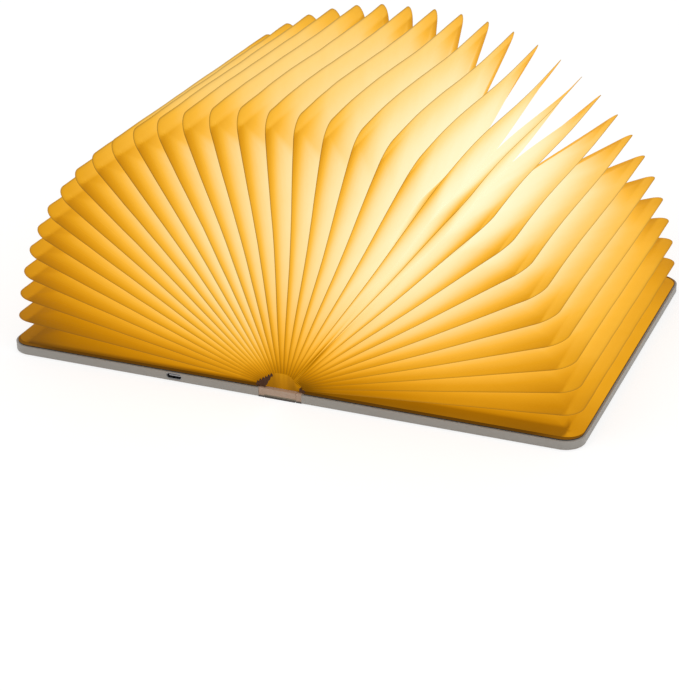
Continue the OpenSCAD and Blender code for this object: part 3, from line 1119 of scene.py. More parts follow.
def in_cell(bearing: Array, cell: float) -> Array:
    """Angle from the middle of the nearest of the equal cells round a circle."""
    return (bearing + cell / 2) % cell - cell / 2


def skin(relief: Numbers, tone: Numbers, rim: Numbers = 0.0) -> dict[str, Numbers]:
    """The values that the leatherette's finish reads."""
    return {"Relief": relief, "Tone": tone, "Rim": rim}


@dataclass(frozen=True)
class Near:
    """The points near a place: which they are, and how they lie from it."""

    where: tuple
    dx: Array
    dy: Array

    @property
    def far(self) -> Array:
        """Distance from the place."""
        return np.hypot(self.dx, self.dy)

    @property
    def bearing(self) -> Array:
        """Bearing from the place, in radians."""
        return np.arctan2(self.dy, self.dx)


@dataclass
class Relief:
    """A pressed ornament over a set of points: its height and its metal tone, 0 to 1."""

    x: Array
    y: Array

    def __post_init__(self) -> None:
        """Starts with a hammered ground."""
        u, v = self.x * 0.9, self.y * 0.9
        pebble = np.sin(u * 1.9 + 1.3 * np.sin(v * 0.8)) * np.sin(v * 2.1 + 1.1 * np.sin(u * 0.7))
        blotch = np.sin(u * 0.31 + 1.0) * np.sin(v * 0.27 + 2.0)
        self.height = 0.17 + 0.11 * pebble + 0.05 * blotch
        self.tone = 0.5 + 0.2 * blotch

    def press(self, height: Array, tone: float, where: tuple | slice = slice(None)) -> None:
        """Raises the points that lie lower than this height.

        Args:
            height: Heights at the chosen points.
            tone: Metal tone of what is raised.
            where: The chosen points.
        """
        higher = height > self.height[where]
        self.height[where] = np.where(higher, height, self.height[where])
        self.tone[where] = np.where(higher, tone, self.tone[where])

    def around(self, at: tuple, radius: float) -> Near:
        """Picks the points within a radius of a place.

        Args:
            at: The place.
            radius: The radius.

        Returns:
            The points.
        """
        dx, dy = self.x - at[0], self.y - at[1]
        where = np.nonzero(np.hypot(dx, dy) < radius)
        return Near(where, dx[where], dy[where])

    def leaf(self, at: tuple, bearing: float, length: float, width: float, tone: float) -> None:
        """Presses a pointed leaf with a vein and notched edges.

        Args:
            at: Its root.
            bearing: Where it points, in radians.
            length: Its length.
            width: Half its width.
            tone: Its metal tone.
        """
        near = self.around(at, length)
        s = (near.dx * math.cos(bearing) + near.dy * math.sin(bearing)) / length
        t = np.abs(-near.dx * math.sin(bearing) + near.dy * math.cos(bearing))
        half = width * np.sin(math.pi * np.clip(s, 0, 1)) ** 0.7 * (1.05 - 0.4 * s)
        half = half * (0.88 + 0.12 * np.cos(s * 30)) + 1e-6
        vein = 1 - 0.35 * np.exp(-(t / 0.35) ** 2)
        barbs = 1 - 0.16 * (np.cos((s * length - t * 0.8) * 2.8) > 0.3)
        lift = 0.9 * dome(t, half) ** 1.1 * vein * barbs
        self.press(np.where((s > 0) & (s < 1) & (t < half), lift, 0), tone, near.where)

    def scroll(self, at: tuple, radius: float, start: float, turn: float, tone: float) -> None:
        """Presses a vine that winds into a spiral, with leaves on its outside.

        Args:
            at: Its middle.
            radius: Its radius.
            start: Bearing of its root, in radians.
            turn: 1 or -1, the way it winds.
            tone: Its metal tone.
        """
        steps = np.linspace(0, 1, 90)
        bearing = start + turn * 8.2 * steps
        far = radius * (1 - 0.86 * steps)
        px, py = at[0] + far * np.cos(bearing), at[1] + far * np.sin(bearing)
        near = self.around(at, radius + 3)
        if len(near.dx):
            gap = np.hypot(near.dx[:, None] + at[0] - px, near.dy[:, None] + at[1] - py)
            width = 1.7 - 0.9 * steps[gap.argmin(1)]
            self.press(0.9 * dome(gap.min(1), width), tone, near.where)
        for k in (4, 14, 25, 37, 50):
            self.leaf((px[k], py[k]), bearing[k] + turn * 0.9, radius * 0.55 * (1 - 0.5 * steps[k]),
                      radius * 0.15, tone + 0.12 * (k % 3 - 1))
        self.ball((px[-1], py[-1]), radius * 0.13, tone + 0.2)

    def ball(self, at: tuple, radius: float, tone: float) -> None:
        """Presses a round bead."""
        near = self.around(at, radius)
        self.press(0.95 * dome(near.far, radius), tone, near.where)

    def ring(self, at: tuple, radius: float, width: float, tone: float, height: float = 0.85,
             twists: int = 0) -> None:
        """Presses a raised ring, plain or twisted like a rope.

        Args:
            at: Its middle.
            radius: Its radius.
            width: Half its width.
            tone: Its metal tone.
            height: Its height.
            twists: Number of twists of the rope, 0 for a plain ring.
        """
        near = self.around(at, radius + width)
        off = near.far - radius
        lift = height * dome(off, width)
        if twists:
            lift = lift * (0.72 + 0.28 * np.cos(near.bearing * twists + off * 2.4))
        self.press(lift, tone, near.where)

    def beads(self, at: tuple, radius: float, count: int, size: float, tone: float) -> None:
        """Presses a ring of beads.

        Args:
            at: Its middle.
            radius: Its radius.
            count: Number of beads.
            size: Radius of a bead.
            tone: Their metal tone.
        """
        near = self.around(at, radius + size)
        off = in_cell(near.bearing, 2 * math.pi / count)
        self.press(0.88 * dome(np.hypot(near.far - radius, off * radius), size), tone, near.where)

    def petals(self, at: tuple, inner: float, outer: float, count: int, tone: float,
               turn: float = 0.0, fill: float = 0.92) -> None:
        """Presses a ring of veined petals.

        Args:
            at: Its middle.
            inner: Radius at the petals' roots.
            outer: Radius at their tips.
            count: Number of petals.
            tone: Their metal tone.
            turn: How far the ring is turned, in radians.
            fill: Share of the ring that the petals cover.
        """
        near, cell = self.around(at, outer), 2 * math.pi / count
        off = np.abs(in_cell(near.bearing + turn, cell))
        s = np.clip((near.far - inner) / (outer - inner), 0, 1)
        half = cell / 2 * fill * np.sin(math.pi * (0.12 + 0.88 * s)) ** 0.55
        share = np.clip(off / (half + 1e-6), 0, 1)
        lines = 0.9 + 0.1 * np.cos(share * 12)
        lift = 0.86 * np.sqrt(1 - share ** 2) * lines * (0.75 + 0.25 * np.sin(math.pi * s))
        self.press(np.where((near.far > inner) & (share < 1), lift, 0), tone, near.where)

    def star(self, at: tuple, radius: float, count: int, tone: float, turn: float = 0.0) -> None:
        """Presses a star of faceted points.

        Args:
            at: Its middle.
            radius: Its radius.
            count: Number of points.
            tone: Its metal tone.
            turn: How far it is turned, in radians.
        """
        near = self.around(at, radius)
        off = in_cell(near.bearing + turn, 2 * math.pi / count)
        across, along = np.abs(near.far * np.sin(off)), near.far * np.cos(off)
        half = np.minimum(along * 0.42, (radius - along) * 0.2) + 1e-6
        facet = 0.55 + 0.45 * (off > 0)
        lift = (0.55 + 0.45 * (1 - across / half)) * (0.8 + 0.2 * facet)
        self.press(np.where(across < half, lift, 0), tone, near.where)

    def cockle(self, at: tuple, radius: float, bearing: float, tone: float) -> None:
        """Presses a ribbed shell that opens from a corner.

        Args:
            at: The corner.
            radius: Its radius.
            bearing: Where its middle rib points, in radians.
            tone: Its metal tone.
        """
        near = self.around(at, radius * 1.08)
        off = in_cell(near.bearing - bearing, 2 * math.pi)
        rib = np.abs(np.cos(off * 9))
        s = near.far / (radius * (0.95 + 0.06 * rib))
        lift = (0.3 + 0.65 * rib ** 1.5) * (0.35 + 0.65 * ease(s * 1.3)) * (s < 1)
        lift = lift * (1 - 0.55 * np.exp(-((s * 7 % 1 - 0.5) / 0.16) ** 2) * (s > 0.3))
        self.press(np.where(np.abs(off) < 0.86, lift, 0), tone, near.where)

    def disc(self, at: tuple, radius: float) -> None:
        """Presses a flat disc for other shapes to stand on."""
        near = self.around(at, radius)
        self.press(0.42 + 0.03 * np.cos(near.far * 3), 0.85, near.where)

    def medal(self, at: tuple, radius: float) -> None:
        """Presses a round gold medallion: rope rim, beads and a plain flower.

        Args:
            at: Its middle.
            radius: Its radius.
        """
        self.disc(at, radius)
        self.ring(at, radius, 1.2, 0.95, 1.0, int(radius * 3))
        self.ring(at, radius * 0.68, 0.6, 0.9, 0.8)
        self.beads(at, radius * 0.84, int(radius * 2.2), 0.75, 1.0)
        self.petals(at, radius * 0.14, radius * 0.6, 8, 0.95)
        self.ball(at, radius * 0.16, 1.0)

    def flower(self, at: tuple, radius: float, tone: float) -> None:
        """Presses a small flower of five petals."""
        self.petals(at, radius * 0.15, radius, 5, tone, at[0], 0.96)
        self.ball(at, radius * 0.24, 0.9)

    def rose(self, at: tuple) -> None:
        """Presses a compass rose in a rope ring, 37 mm in radius.

        Args:
            at: Its middle.
        """
        self.disc(at, 37)
        self.ring(at, 37.0, 1.9, 0.3, 1.0, 90)
        self.beads(at, 33.2, 60, 1.3, 0.9)
        self.ring(at, 30.4, 0.8, 0.6)
        self.petals(at, 17.5, 29.4, 24, 0.12)
        self.petals(at, 8.0, 20.0, 16, 0.45, 0.2)
        self.star(at, 27.5, 8, 0.02)
        self.star(at, 19.0, 8, 0.3, math.pi / 8)
        self.ring(at, 7.4, 1.0, 0.8, 1.0, 24)
        self.ball(at, 4.6, 0.0)


# Layout of a cover's ornament. A corner is x, y and the shell's bearing in degrees, and a
# vine is the way it winds, its middle, its radius and the bearing of its root.
CORNERS = ((14, -94.5, 45), (136, -94.5, 135), (14, 94.5, -45), (136, 94.5, -135))
VINES = ((1, (34, -56), 17, 0.6), (-1, (117, -57), 17, 2.6), (1, (117, 57), 17, 3.7),
         (-1, (33, 57), 17, 5.6), (-1, (62, -76), 13, 1.2), (1, (90, -80), 12, 1.9),
         (1, (62, 79), 12, 5.2), (-1, (91, 77), 13, 4.4), (1, (22, -24), 11, 0.2),
         (-1, (22, 25), 11, 6.1), (-1, (130, -25), 11, 3.0), (1, (130, 24), 11, 3.3))
MEDALS = ((76, -54, 9.5), (75, 56, 9.5), (19, 0, 7.5), (133, 0, 7.5))
FLOWERS = ((48, -40), (103, -41), (47, 40), (104, 40), (76, -92), (46, -92),
           (104, -92), (76, 92), (46, 92), (105, 92), (16, -62), (136, -62),
           (16, 62), (136, 62), (50, -60), (100, 61), (52, 62), (99, -62))
FLOWER_TONES = (0.05, 0.4, 0.8)


@dataclass(frozen=True)
class Flap:
    """Sizes of a pinked flap: where it runs, and the number and height of its teeth."""

    near: float
    far: float
    steps: int
    teeth: int
    rise: float
    tooth: float


FLAPS = {Side.LEFT: Flap(4.6, 14.2, 49, 6, 7.6, 1.4), Side.RIGHT: Flap(10.4, 13.6, 21, 2, 2.0, 0.6)}


@dataclass
class Cover:
    """One cover's leatherette, pasted paper and hinge."""

    side: Side
    hinge_reach: float = 2.9
    width: float = 149.5
    length: float = 215.0
    corner_r: float = 11.0
    wrap_t: float = 0.8
    leaf_z: float = 5.4
    leaf_t: float = 0.3
    leaf_inset: float = 1.1
    emboss: float = 0.58
    step: float = 0.72
    roll_r: float = 0.7
    clear: float = 0.03
    end_fade: float = 2.2
    hinge_fade: float = 1.5
    rim_start: float = 0.1
    rim_w: float = 0.35
    gusset_y: tuple = (107.2, 105.2)
    gusset_top: float = 5.25
    flap_y: tuple = (106.0, 105.6)
    flap_foot: tuple = (5.35, 5.75)
    cable_x: tuple = (2.1, 8.9, 9.8, 10.8, 11.8, 12.6, 21.2)
    cable_z: tuple = (2.85, 2.85, 2.7, 2.3, 1.95, 1.85, 1.85)
    cable_y: tuple = (-78.5, -72.5)
    cable_half_t: float = 0.15
    track_pitch: float = 1.5

    @property
    def far_x(self) -> float:
        """Distance of the cover's hinge edge from the middle of the spine."""
        return AXIS_X + self.hinge_reach

    def build(self) -> list[Piece]:
        """Makes the leatherette, the pasted paper and the hinge.

        Returns:
            The pieces.
        """
        made = [self.wrap(), self.leaf(), self.hinge(), self.gussets(), self.turn_in()]
        if self.side is Side.LEFT:
            made.append(self.cable())
        return made

    def bend(self, piece: Piece) -> Piece:
        """Lets a piece bend across the hinge, from the spine's side to the cover's edge."""
        return bend(piece, self.side, SPINE_HALF, self.far_x)

    def lines(self, step: float, inset: float) -> tuple[Array, Array]:
        """Grid over the cover's rounded outline.

        Args:
            step: Distance between grid lines.
            inset: How far the outline is set back.

        Returns:
            x from the cover's hinge edge and y, rows by columns.
        """
        r, end = self.corner_r - inset, self.length / 2 - inset
        arc = np.sin(np.linspace(math.pi / 2, 0, max(6, int(15 / step)) + 1))[:-1] * r
        straight = np.linspace(end - r, r - end, int(2 * (end - r) / step))
        y = np.concatenate([end - r + arc, straight, (r - end) - arc[::-1]])[::-1]
        right = self.width - inset - r + np.sqrt(np.clip(r ** 2 - np.clip(
            np.abs(y) - (end - r), 0, r) ** 2, 0, None))
        near = np.array([0, 0.12, 0.3, 0.55, 0.85]) if step < 1 else np.array([0, 1.0])
        inner = np.linspace(0, 1, int(self.width / step))
        x = inset + inner[None] * (right - inset - near[-1] - step * 0.5)[:, None]
        x = np.hstack([x, right[:, None] - near[::-1][None]])
        return x, np.repeat(y[:, None], x.shape[1], 1)

    def edge(self, x: Array, y: Array) -> Array:
        """Distance from the cover's fore-edge, ends and rounded corners.

        Args:
            x: Distance from the cover's hinge edge.
            y: Distance from the book's middle.

        Returns:
            The distance to the nearest of them.
        """
        qx = np.clip(x - (self.width - self.corner_r), 0, None)
        qy = np.clip(np.abs(y) - (self.length / 2 - self.corner_r), 0, None)
        straight = np.minimum(self.width - x, self.length / 2 - np.abs(y))
        return np.where((qx > 0) & (qy > 0), self.corner_r - np.hypot(qx, qy), straight)

    def place(self, x: Array, y: Array, z: Numbers) -> Array:
        """Puts cover coordinates in the lamp's frame."""
        return points_at(self.side.value * (self.far_x + x), y, z)

    def ornament(self, x: Array, y: Array) -> Relief:
        """The pressed ornament of one cover: border, corner shells, compass rose and vines.

        Args:
            x: Distance from the cover's hinge edge.
            y: Distance from the book's middle.

        Returns:
            The relief at those points.
        """
        relief = Relief(x, y)
        edge = np.minimum(self.edge(x, y), x + 1.5)
        run = np.where(self.width - x < self.length / 2 - np.abs(y), y, x + 4.0)
        relief.press(0.7 * dome(edge - 3.4, 0.8), 0.55)
        rope = dome(edge - 6.9, 2.1) * (0.66 + 0.34 * np.cos(run * 1.55 + (edge - 6.9) * 1.5))
        relief.press(0.92 * rope, 0.35)
        relief.press(0.7 * dome(edge - 10.3, 0.7), 0.7)
        for cx, cy, bearing in CORNERS:
            relief.cockle((cx, cy), 27, math.radians(bearing), 0.42)
            relief.ring((cx, cy), 5.5, 1.3, 0.9)
        for turn, at, radius, start in VINES:
            relief.scroll(at, radius, start, turn, 0.18 + 0.05 * (radius % 5))
        for mx, my, radius in MEDALS:
            relief.medal((mx, my), radius)
        middle = (self.width / 2 + 1, 0.0)
        self.foliage(relief, middle)
        for k, at in enumerate(FLOWERS):
            relief.flower(at, 5.2 - (k % 3) * 0.6, FLOWER_TONES[k % 3])
        relief.rose(middle)
        return relief

    def foliage(self, relief: Relief, middle: tuple) -> None:
        """Fills the ground between the vines with leaves and beads on a leaning net.

        Args:
            relief: The relief to press into.
            middle: The middle of the compass rose, which stays free.
        """
        for row in range(-13, 14):
            for column in range(19):
                at = (7.0 + 8.0 * column + 4.0 * (row % 2), 7.6 * row)
                far = math.hypot(at[0] - middle[0], at[1])
                if far < 38 or at[0] > self.width - 8:
                    continue
                bearing = math.atan2(at[1], at[0] - middle[0]) + 1.1 + 0.9 * math.sin(
                    0.11 * at[0] + 0.07 * at[1])
                tone = 0.5 + 0.45 * math.sin(0.9 * row + 1.7 * column)
                for turn in (0.0, 2.2, -2.2):
                    relief.leaf(at, bearing + turn, 6.6 - 0.8 * abs(turn), 1.7, tone)
                relief.ball(at, 1.05, 1.0 - tone)

    def wrap(self) -> Piece:
        """Makes the embossed leatherette, with its edges rolled up to the housing.

        Returns:
            The piece, riding on the cover.
        """
        x, y = self.lines(self.step, 0.0)
        relief = self.ornament(x, y)
        edge = self.edge(x, y)
        height = np.clip(relief.height, 0, 1)
        flat = ease(edge / self.end_fade) * ease((x + 0.2) / self.hinge_fade)
        roll = self.roll_r - np.sqrt(np.clip(self.roll_r ** 2 - np.clip(
            self.roll_r - edge, 0, None) ** 2, 0, None))
        z = np.clip(self.emboss * (1 - height) * flat + roll, 0, self.wrap_t - 0.06)
        rim = np.clip(1 - (edge - self.rim_start) / self.rim_w, 0, 1)
        mesh, inward = Mesh(), self.side is Side.LEFT
        face = self.place(x, y, z)
        mesh.grid(face, not inward, skin(height * flat, relief.tone, rim))
        loop = mesh.rim(face)
        top = self.place(x, y, self.wrap_t).reshape(-1, 3)[loop]
        above = mesh.add_points(top, skin(0.0, 0.5, 1.0)) + np.arange(len(loop))
        mesh.add_faces(np.stack([loop, np.roll(loop, -1), np.roll(above, -1), above], -1), inward)
        mesh.add_faces(above[None], inward)
        piece = mesh.piece(f"{self.side.word}_embossed_wrap", Finishes.SKIN)
        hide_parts(f"{self.side.word}_wrap")
        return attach(piece, self.side.cover)

    def leaf(self) -> Piece:
        """Makes the pasted paper that the last sheet is glued to.

        Returns:
            The piece, riding on the cover.
        """
        x, y = self.lines(3.0, self.leaf_inset)
        edge = np.clip(self.edge(x, y) - self.leaf_inset, 0, None)
        glow = 0.05 + 0.10 * ease((x - self.width + 30) / 20) * np.exp(-edge / 9)
        mesh = Mesh()
        mesh.shell(self.place(x, y, self.leaf_z + self.leaf_t), self.place(x, y, self.leaf_z),
                   self.side is Side.LEFT, {"Glow": glow, "Edge": 0},
                   {"Glow": 0.3 * glow, "Edge": 1})
        piece = mesh.piece(f"{self.side.word}_pasted_leaf", Finishes.LEAF, 40.0)
        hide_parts(f"{self.side.word}_end_leaf")
        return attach(piece, self.side.cover)

    def hinge(self) -> Piece:
        """Makes the leatherette over the hinge, pressed with a line along each side.

        Returns:
            The piece, blended between the spine and the cover.
        """
        x = np.linspace(SPINE_HALF + 0.04, self.far_x - 0.04, 13)
        gx, gy = np.meshgrid(x, np.linspace(-self.length / 2, self.length / 2, 240))
        t = (gx - x[0]) / (x[-1] - x[0])
        height = 0.30 + 0.25 * np.cos(t * 4 * math.pi) + 0.12 * np.sin(gy * 1.7) * np.sin(
            gy * 0.53 + 3 * t)
        dip = 0.16 * (1 - height) * np.sin(math.pi * t) ** 0.5
        low, high = (points_at(self.side.value * gx, gy, z) for z in (dip, self.wrap_t))
        mesh = Mesh()
        mesh.shell(low, high, self.side is Side.RIGHT, skin(height, 0.5), skin(0, 0.5, 0.3))
        piece = mesh.piece(f"{self.side.word}_hinge_leatherette", Finishes.SKIN)
        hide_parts(f"{self.side.word}_hinge_strip")
        return self.bend(piece)

    def gussets(self) -> Piece:
        """Makes soft fillers that close both ends of the hinge, flush with the cover's edge.

        Returns:
            The piece, blended between the spine and the cover.
        """
        mesh = Mesh()
        x = np.linspace(SPINE_HALF + self.clear, self.far_x - self.clear, 9)
        gx, gz = np.meshgrid(x, np.linspace(self.wrap_t + 0.02, self.gusset_top, 7))
        sunk = 0.12 * np.sin(math.pi * (gx - x[0]) / (x[-1] - x[0]))
        for end in (-1, 1):
            outer, inner = (points_at(self.side.value * gx, end * y, gz)
                            for y in (self.gusset_y[0] - sunk, self.gusset_y[1]))
            mesh.shell(outer, inner, end * self.side.value > 0)
        return self.bend(mesh.piece(f"{self.side.word}_hinge_gussets", Finishes.CHANNEL))

    def turn_in(self) -> Piece:
        """Makes the pinked flap of leatherette that is turned in over the hinge's ends.

        Returns:
            The piece, blended between the spine and the cover.
        """
        mesh, flap = Mesh(), FLAPS[self.side]
        x = np.linspace(flap.near, flap.far, flap.steps)
        t = (x - flap.near) / (flap.far - flap.near)
        teeth = 1.0 - np.abs((t * flap.teeth) % 1 * 2 - 1)
        base = np.interp(x, [SPINE_HALF, self.far_x], self.flap_foot)
        top = base + flap.rise * (1 - t) ** 0.8 + flap.tooth * teeth
        middle = flap.near + 0.55 * (flap.far - flap.near)
        low = base + (top - base) * 0.86 * ease((middle - x) / 5.2)
        gx, gt = np.meshgrid(x, np.linspace(0, 1, 6))
        lean = 0.35 * np.sin(gt * 2.2) + 0.1 * np.sin(gx * 2.1)
        for end, scale in ((-1, 1.0), (1, 0.6)):
            gz = low + (top - low + 0.12) * gt
            gz = base + (gz - base) * scale
            outer, inner = (points_at(self.side.value * gx, end * (y - lean), gz)
                            for y in self.flap_y)
            mesh.shell(outer, inner, end * self.side.value > 0)
        # The flap's dark brown is partly painted shade of the gap between the cover's end and the pages.
        return self.bend(mesh.piece(f"{self.side.word}_hinge_turn_in", Finishes.FOLD))

    def cable(self) -> Piece:
        """Makes the flat cable that crosses the hinge from the light strip to the board.

        Returns:
            The piece, blended between the spine and the cover.
        """
        x = np.linspace(self.cable_x[0], self.cable_x[-1], 61)
        z = np.interp(x, self.cable_x, self.cable_z)
        z = np.convolve(np.pad(z, 2, "edge"), [0.1, 0.24, 0.32, 0.24, 0.1], "valid")
        gx, gy = np.meshgrid(x, np.linspace(*self.cable_y, 25))
        across = gy - sum(self.cable_y) / 2
        thick = self.cable_half_t + 0.012 * np.cos(across * 2 * math.pi / self.track_pitch)
        mesh = Mesh()
        mesh.shell(points_at(-gx, gy, z + thick), points_at(-gx, gy, z - thick), True)
        piece = mesh.piece("flat_cable_film", Finishes.FILM)
        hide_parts("flat_cable")
        return self.bend(piece)


@dataclass
class Spine:
    """The spine's leatherette and the paper tapes over the page roots."""

    length: float = 215.0
    wrap_t: float = 0.8
    emboss: float = 0.42
    roll_r: float = 0.6
    ornament_x: float = 40.0
    tape_half: float = 8.8
    tape_fixed: float = 5.6
    tape_far: float = 12.9
    tape_turn: tuple = (5.2, 12.5)
    tape_z: float = 5.3
    tape_h: float = 9.0
    tape_y: float = 104.6
    tape_t: float = 0.24
    pleat_pace: float = 20.0
    crest_foot: float = 0.30
    crest_wing: float = 0.08
    crest_arch: float = 0.70
    scallop: float = 0.05
    lining_x: float = 8.7
    lining_y: tuple = (56, 104.5)
    lining_z: tuple = (0.16, 0.04)

    def build(self) -> list[Piece]:
        """Makes the leatherette and the tapes."""
        return [self.wrap(), *self.tapes()]

    def ornament(self, x: Array, y: Array) -> Relief:
        """The pressed ornament of the spine: raised bands, medallions, flowers and vines.

        Args:
            x: Distance from the spine's middle line.
            y: Distance from the book's middle.

        Returns:
            The relief at those points.
        """
        relief = Relief(x + self.ornament_x, y)
        for band in (-92, -58, 58, 92):
            relief.press(0.9 * dome(y - band, 1.4) * (0.7 + 0.3 * np.cos(x * 2.2 + y)), 0.4)
            relief.press(0.7 * dome(np.abs(y - band) - 3.0, 0.7), 0.7)
        relief.press(0.75 * dome(np.abs(x) - 7.6, 0.6), 0.5)
        for at in (-23, 23):
            relief.medal((self.ornament_x, at), 5.6)
        for at in (-46, 0, 46):
            relief.flower((self.ornament_x, at), 6.2, 0.1)
        for k, at in enumerate((-75, -34.5, -11.5, 11.5, 34.5, 75)):
            relief.scroll((self.ornament_x, at), 6.5, k * 1.3, 1 if k % 2 else -1, 0.25)
        return relief

    def wrap(self) -> Piece:
        """Makes the embossed leatherette over the spine, its long edges rounded.

        Returns:
            The piece, riding on the spine.
        """
        s = np.linspace(-1, 1, 44)
        x = SPINE_HALF * (0.82 * s + 0.18 * s ** 3)
        gx, gy = np.meshgrid(x, np.linspace(-self.length / 2, self.length / 2, 300))
        relief = self.ornament(gx, gy)
        height = np.clip(relief.height, 0, 1)
        off = SPINE_HALF - np.abs(gx)
        roll = self.roll_r - np.sqrt(np.clip(
            self.roll_r ** 2 - np.clip(self.roll_r - off, 0, None) ** 2, 0, None))
        ends = ease((self.length / 2 - np.abs(gy)) / 1.2)
        low = points_at(gx, gy, self.emboss * (1 - height) * ends * ease(off / 1.2) + roll)
        mesh = Mesh()
        mesh.shell(low, points_at(gx, gy, self.wrap_t), True, skin(height * ends, relief.tone),
                   skin(0, relief.tone, 0.3))
        piece = mesh.piece("spine_embossed_wrap", Finishes.SKIN)
        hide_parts("spine_wrap")
        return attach(piece, "spine")

    def tape(self, x: Array, name: str, lined: bool) -> Piece:
        """Makes lit paper tape across both ends of the book, its upper edge on the pleats.

        Args:
            x: Where the tape runs.
            name: Name of the piece.
            lined: True to add the lining under the page roots.

        Returns:
            The piece, riding on nothing yet.
        """
        mesh = Mesh()
        gx, gt = np.meshgrid(x, np.linspace(0, 1, 12))
        share = gx / self.tape_half
        past = np.clip((np.abs(share) - 1) / 0.47, 0, 1)
        crest = (self.crest_foot * (1 - past) ** 0.8 + self.crest_wing * past
                 + self.crest_arch * np.clip(1 - np.abs(share) ** 3.4, 0, 1)
                 - self.scallop * (1 - past) * np.abs(np.sin(share * self.pleat_pace)))
        foot = self.tape_z + 0.06 + 0.42 * ease((np.abs(gx) - 11.2) / 1.2)
        z = foot + self.tape_h * gt * crest
        glow = 0.29 + 0.10 * gt ** 1.6 + 0.02 * np.cos(share * self.pleat_pace) * gt
        glow = (glow + 0.03 * np.sin(share * 5 + 1)) * (1 - 0.15 * share ** 2)
        for end in (-1, 1):
            outer, inner = (points_at(gx, end * (self.tape_y + depth), z)
                            for depth in (self.tape_t, 0.0))
            mesh.shell(outer, inner, end > 0, {"Glow": glow, "Edge": 0})
            if lined:
                self.lining(mesh, end)
        return mesh.piece(name, Finishes.TAPE)

    def lining(self, mesh: Mesh, end: int) -> None:
        """Adds the lit paper that lies on the spine under the page roots, at one end.

        Args:
            mesh: The mesh to add to.
            end: -1 for the front end of the book, 1 for the back.
        """
        x, y = np.meshgrid(np.linspace(-self.lining_x, self.lining_x, 25),
                           end * np.linspace(*self.lining_y, 15))
        wave = 0.03 * (1 - np.cos(x * 2.9))
        glow = 0.5 - 0.12 * ease((np.abs(y) - 80) / 24)
        top, bottom = (points_at(x, y, self.tape_z + up + wave) for up in self.lining_z)
        mesh.shell(top, bottom, end < 0, {"Glow": glow, "Edge": 0})

    def tapes(self) -> list[Piece]:
        """Makes the paper tapes over the page roots, with wings that follow the covers.

        Returns:
            The middle piece and the two wings.
        """
        reach = np.linspace(-self.tape_fixed, self.tape_fixed, 33)
        middle = self.tape(reach, "root_paper_tapes", True)
        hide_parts("root_tapes")
        made = [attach(middle, "spine")]
        first, last = self.tape_turn
        for side in Side:
            x = np.sort(side.value * np.linspace(self.tape_fixed, self.tape_far, 37))
            wing = self.tape(x, f"{side.word}_root_tape_wings", False)
            reach = np.array([abs(v.co.x) for v in wing.data.vertices]) / MM
            turn = ease((reach - first) / (last - first))
            made.append(bend(wing, side, self.tape_fixed, self.tape_far, turn))
        return made


# ---- nodes that keep their shape


@dataclass
class Dressing:
    """Gives the nodes that keep their own shape a finish and softened edges.

    A node's name leads to its finish and to the width of its rounding in millimetres.
    """

    nodes: dict = field(default_factory=lambda: {
        "spine_board": (Finishes.BOARD, 0), "spine_channel": (Finishes.CHANNEL, 0.3),
        "light_strip": (Finishes.STRIP, 0), "diodes": (Finishes.DIODE, 0),
        "diffuser": (Finishes.LENS, 0), "left_magnets": (Finishes.NICKEL, 0),
        "right_magnets": (Finishes.NICKEL, 0), "battery": (Finishes.FOIL, 0.3),
        "charging_board": (Finishes.CIRCUIT, 0), "charging_socket": (Finishes.STEEL, 0),
        "lid_switch": (Finishes.REED, 0), "left_tray": (Finishes.HOUSING, 0.5),
        "right_tray": (Finishes.HOUSING, 0.5), "left_panel": (Finishes.PANEL, 0.1),
        "right_panel": (Finishes.PANEL, 0.1),
    })

    def build(self) -> None:
        """Dresses each node."""
        for name, (finish, rounding) in self.nodes.items():
            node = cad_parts[name]
            node.data.materials.clear()
            node.data.materials.append(finish.material())
            if rounding:
                self.soften(node, rounding)

    @staticmethod
    def soften(node: Piece, rounding: float) -> None:
        """Welds the node's faces and rounds its sharp edges.

        Args:
            node: The node.
            rounding: Width of the rounding in millimetres.
        """
        node.modifiers.new("weld", "WELD").merge_threshold = 0.000005
        bevel = node.modifiers.new("soft_edges", "BEVEL")
        bevel.width = rounding * MM
        bevel.segments = 3
        bevel.limit_method = "ANGLE"
        bevel.angle_limit = math.radians(50)


# ---- studio


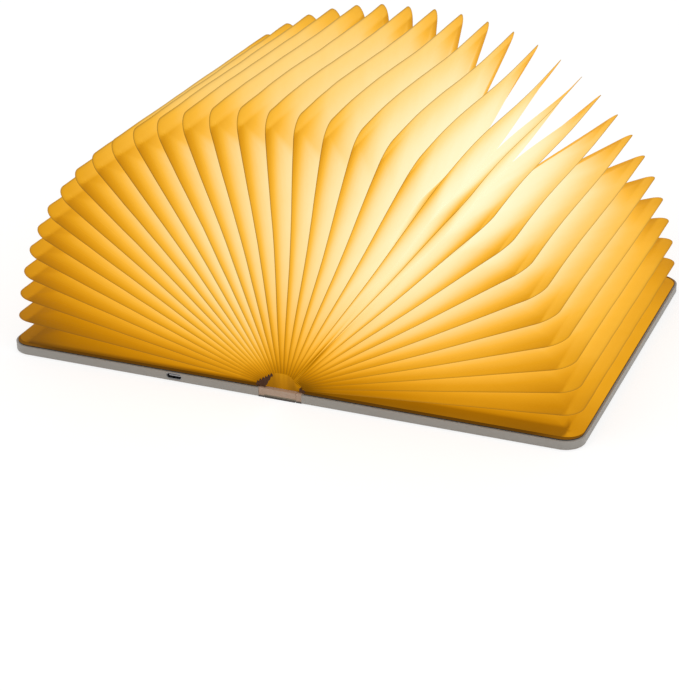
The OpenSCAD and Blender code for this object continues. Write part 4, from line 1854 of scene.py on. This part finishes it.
@dataclass
class Studio:
    """Pale floor, soft light and the camera. A lamp is its name, place, power and size."""

    eye: tuple = (0.37570, -0.93945, 0.47684)
    forward: tuple = (-0.33275, 0.83204, -0.44383)
    roll: float = -0.52
    focal_px: float = 1972.0
    frame_px: tuple = (679, 691)
    centre_px: tuple = (355.9, 356.2)
    sensor: float = 36.0
    floor_half: float = 6.0
    target: tuple = (0, 0, 0.05)
    lamps: tuple = (("key", (-0.9, -1.2, 1.6), 8.0, 1.2), ("fill", (1.4, -0.6, 0.9), 7.0, 1.4))

    def build(self) -> None:
        """Makes the floor, world, lamps and camera."""
        self.make_floor()
        self.make_world()
        for lamp in self.lamps:
            self.make_lamp(*lamp)
        self.make_camera()

    def make_floor(self) -> None:
        """A wide pale floor that keeps the lamp's shadow and stays near white to the camera."""
        half = self.floor_half
        data = bpy.data.meshes.new("studio_floor")
        data.from_pydata([(-half, -half, 0), (half, -half, 0), (half, half, 0), (-half, half, 0)],
                         [], [(0, 1, 2, 3)])
        floor = bpy.data.objects.new("studio_floor", data)
        floor.location.z = -0.0002
        bpy.context.scene.collection.objects.link(floor)
        made = bpy.data.materials.new("pale_floor")
        made.use_nodes = True
        made.node_tree.nodes.clear()
        graph = Graph(made.node_tree)
        matt = graph.add("ShaderNodeBsdfDiffuse", {"Color": (0.86, 0.86, 0.86, 1.0)})
        white = graph.add("ShaderNodeEmission", {"Color": (1, 1, 1, 1), "Strength": 1.14})
        share = graph.math("MULTIPLY", graph.backdrop_rays(), 0.62)
        both = graph.add("ShaderNodeMixShader", {0: share, 1: matt.outputs[0], 2: white.outputs[0]})
        graph.add("ShaderNodeOutputMaterial", {0: both.outputs[0]})
        data.materials.append(made)

    def make_world(self) -> None:
        """Even, neutral light from all round."""
        world = bpy.data.worlds.new("studio_world")
        bpy.context.scene.world = world
        world.use_nodes = True
        graph = Graph(world.node_tree)
        power = graph.math("MULTIPLY_ADD", graph.backdrop_rays(), 0.2, 0.8)
        graph.feed(world.node_tree.nodes["Background"],
                   {"Color": (1.0, 1.0, 1.0, 1.0), "Strength": power})

    def make_lamp(self, name: str, place: tuple, power: float, size: float) -> None:
        """A large soft lamp that points at the book.

        Args:
            name: The lamp's name.
            place: Where it stands.
            power: Its power in watts.
            size: Its width in metres.
        """
        data = bpy.data.lights.new(name, "AREA")
        data.energy, data.size = power, size
        lamp = bpy.data.objects.new(name, data)
        lamp.location = place
        aim = Vector(self.target) - Vector(place)
        lamp.rotation_euler = aim.to_track_quat("-Z", "Y").to_euler()
        bpy.context.scene.collection.objects.link(lamp)

    def make_camera(self) -> None:
        """The camera that sees the lamp as it stands on the table."""
        data = bpy.data.cameras.new("view")
        camera = bpy.data.objects.new("view", data)
        bpy.context.scene.collection.objects.link(camera)
        forward = Vector(self.forward).normalized()
        right = forward.cross(Vector((0, 0, 1))).normalized()
        up = right.cross(forward)
        turn = math.radians(self.roll)
        across = right * math.cos(turn) + up * math.sin(turn)
        upward = up * math.cos(turn) - right * math.sin(turn)
        camera.matrix_world = Matrix.Translation(Vector(self.eye)) @ Matrix(
            (across, upward, -forward)).transposed().to_4x4()
        long_side = max(self.frame_px)
        data.sensor_width = self.sensor
        data.lens = self.focal_px / long_side * self.sensor
        data.shift_x = (self.frame_px[0] / 2 - self.centre_px[0]) / long_side
        data.shift_y = (self.centre_px[1] - self.frame_px[1] / 2) / long_side
        data.clip_start, data.clip_end = 0.05, 20.0
        bpy.context.scene.camera = camera


def main() -> None:
    """Builds the lamp's looks in order and reports each piece."""
    logging.basicConfig(level=logging.INFO, format="%(name)s: %(message)s")
    bpy.context.scene.view_settings.view_transform = "Standard"
    Studio().build()
    log.info("studio is ready")
    for assembly in (Bellows(), Cover(Side.LEFT), Cover(Side.RIGHT), Spine()):
        for piece in assembly.build():
            log.info("%s: %d points", piece.name, len(piece.data.vertices))
    dressing = Dressing()
    dressing.build()
    log.info("%d nodes dressed", len(dressing.nodes))


if __name__ == "__main__":
    main()
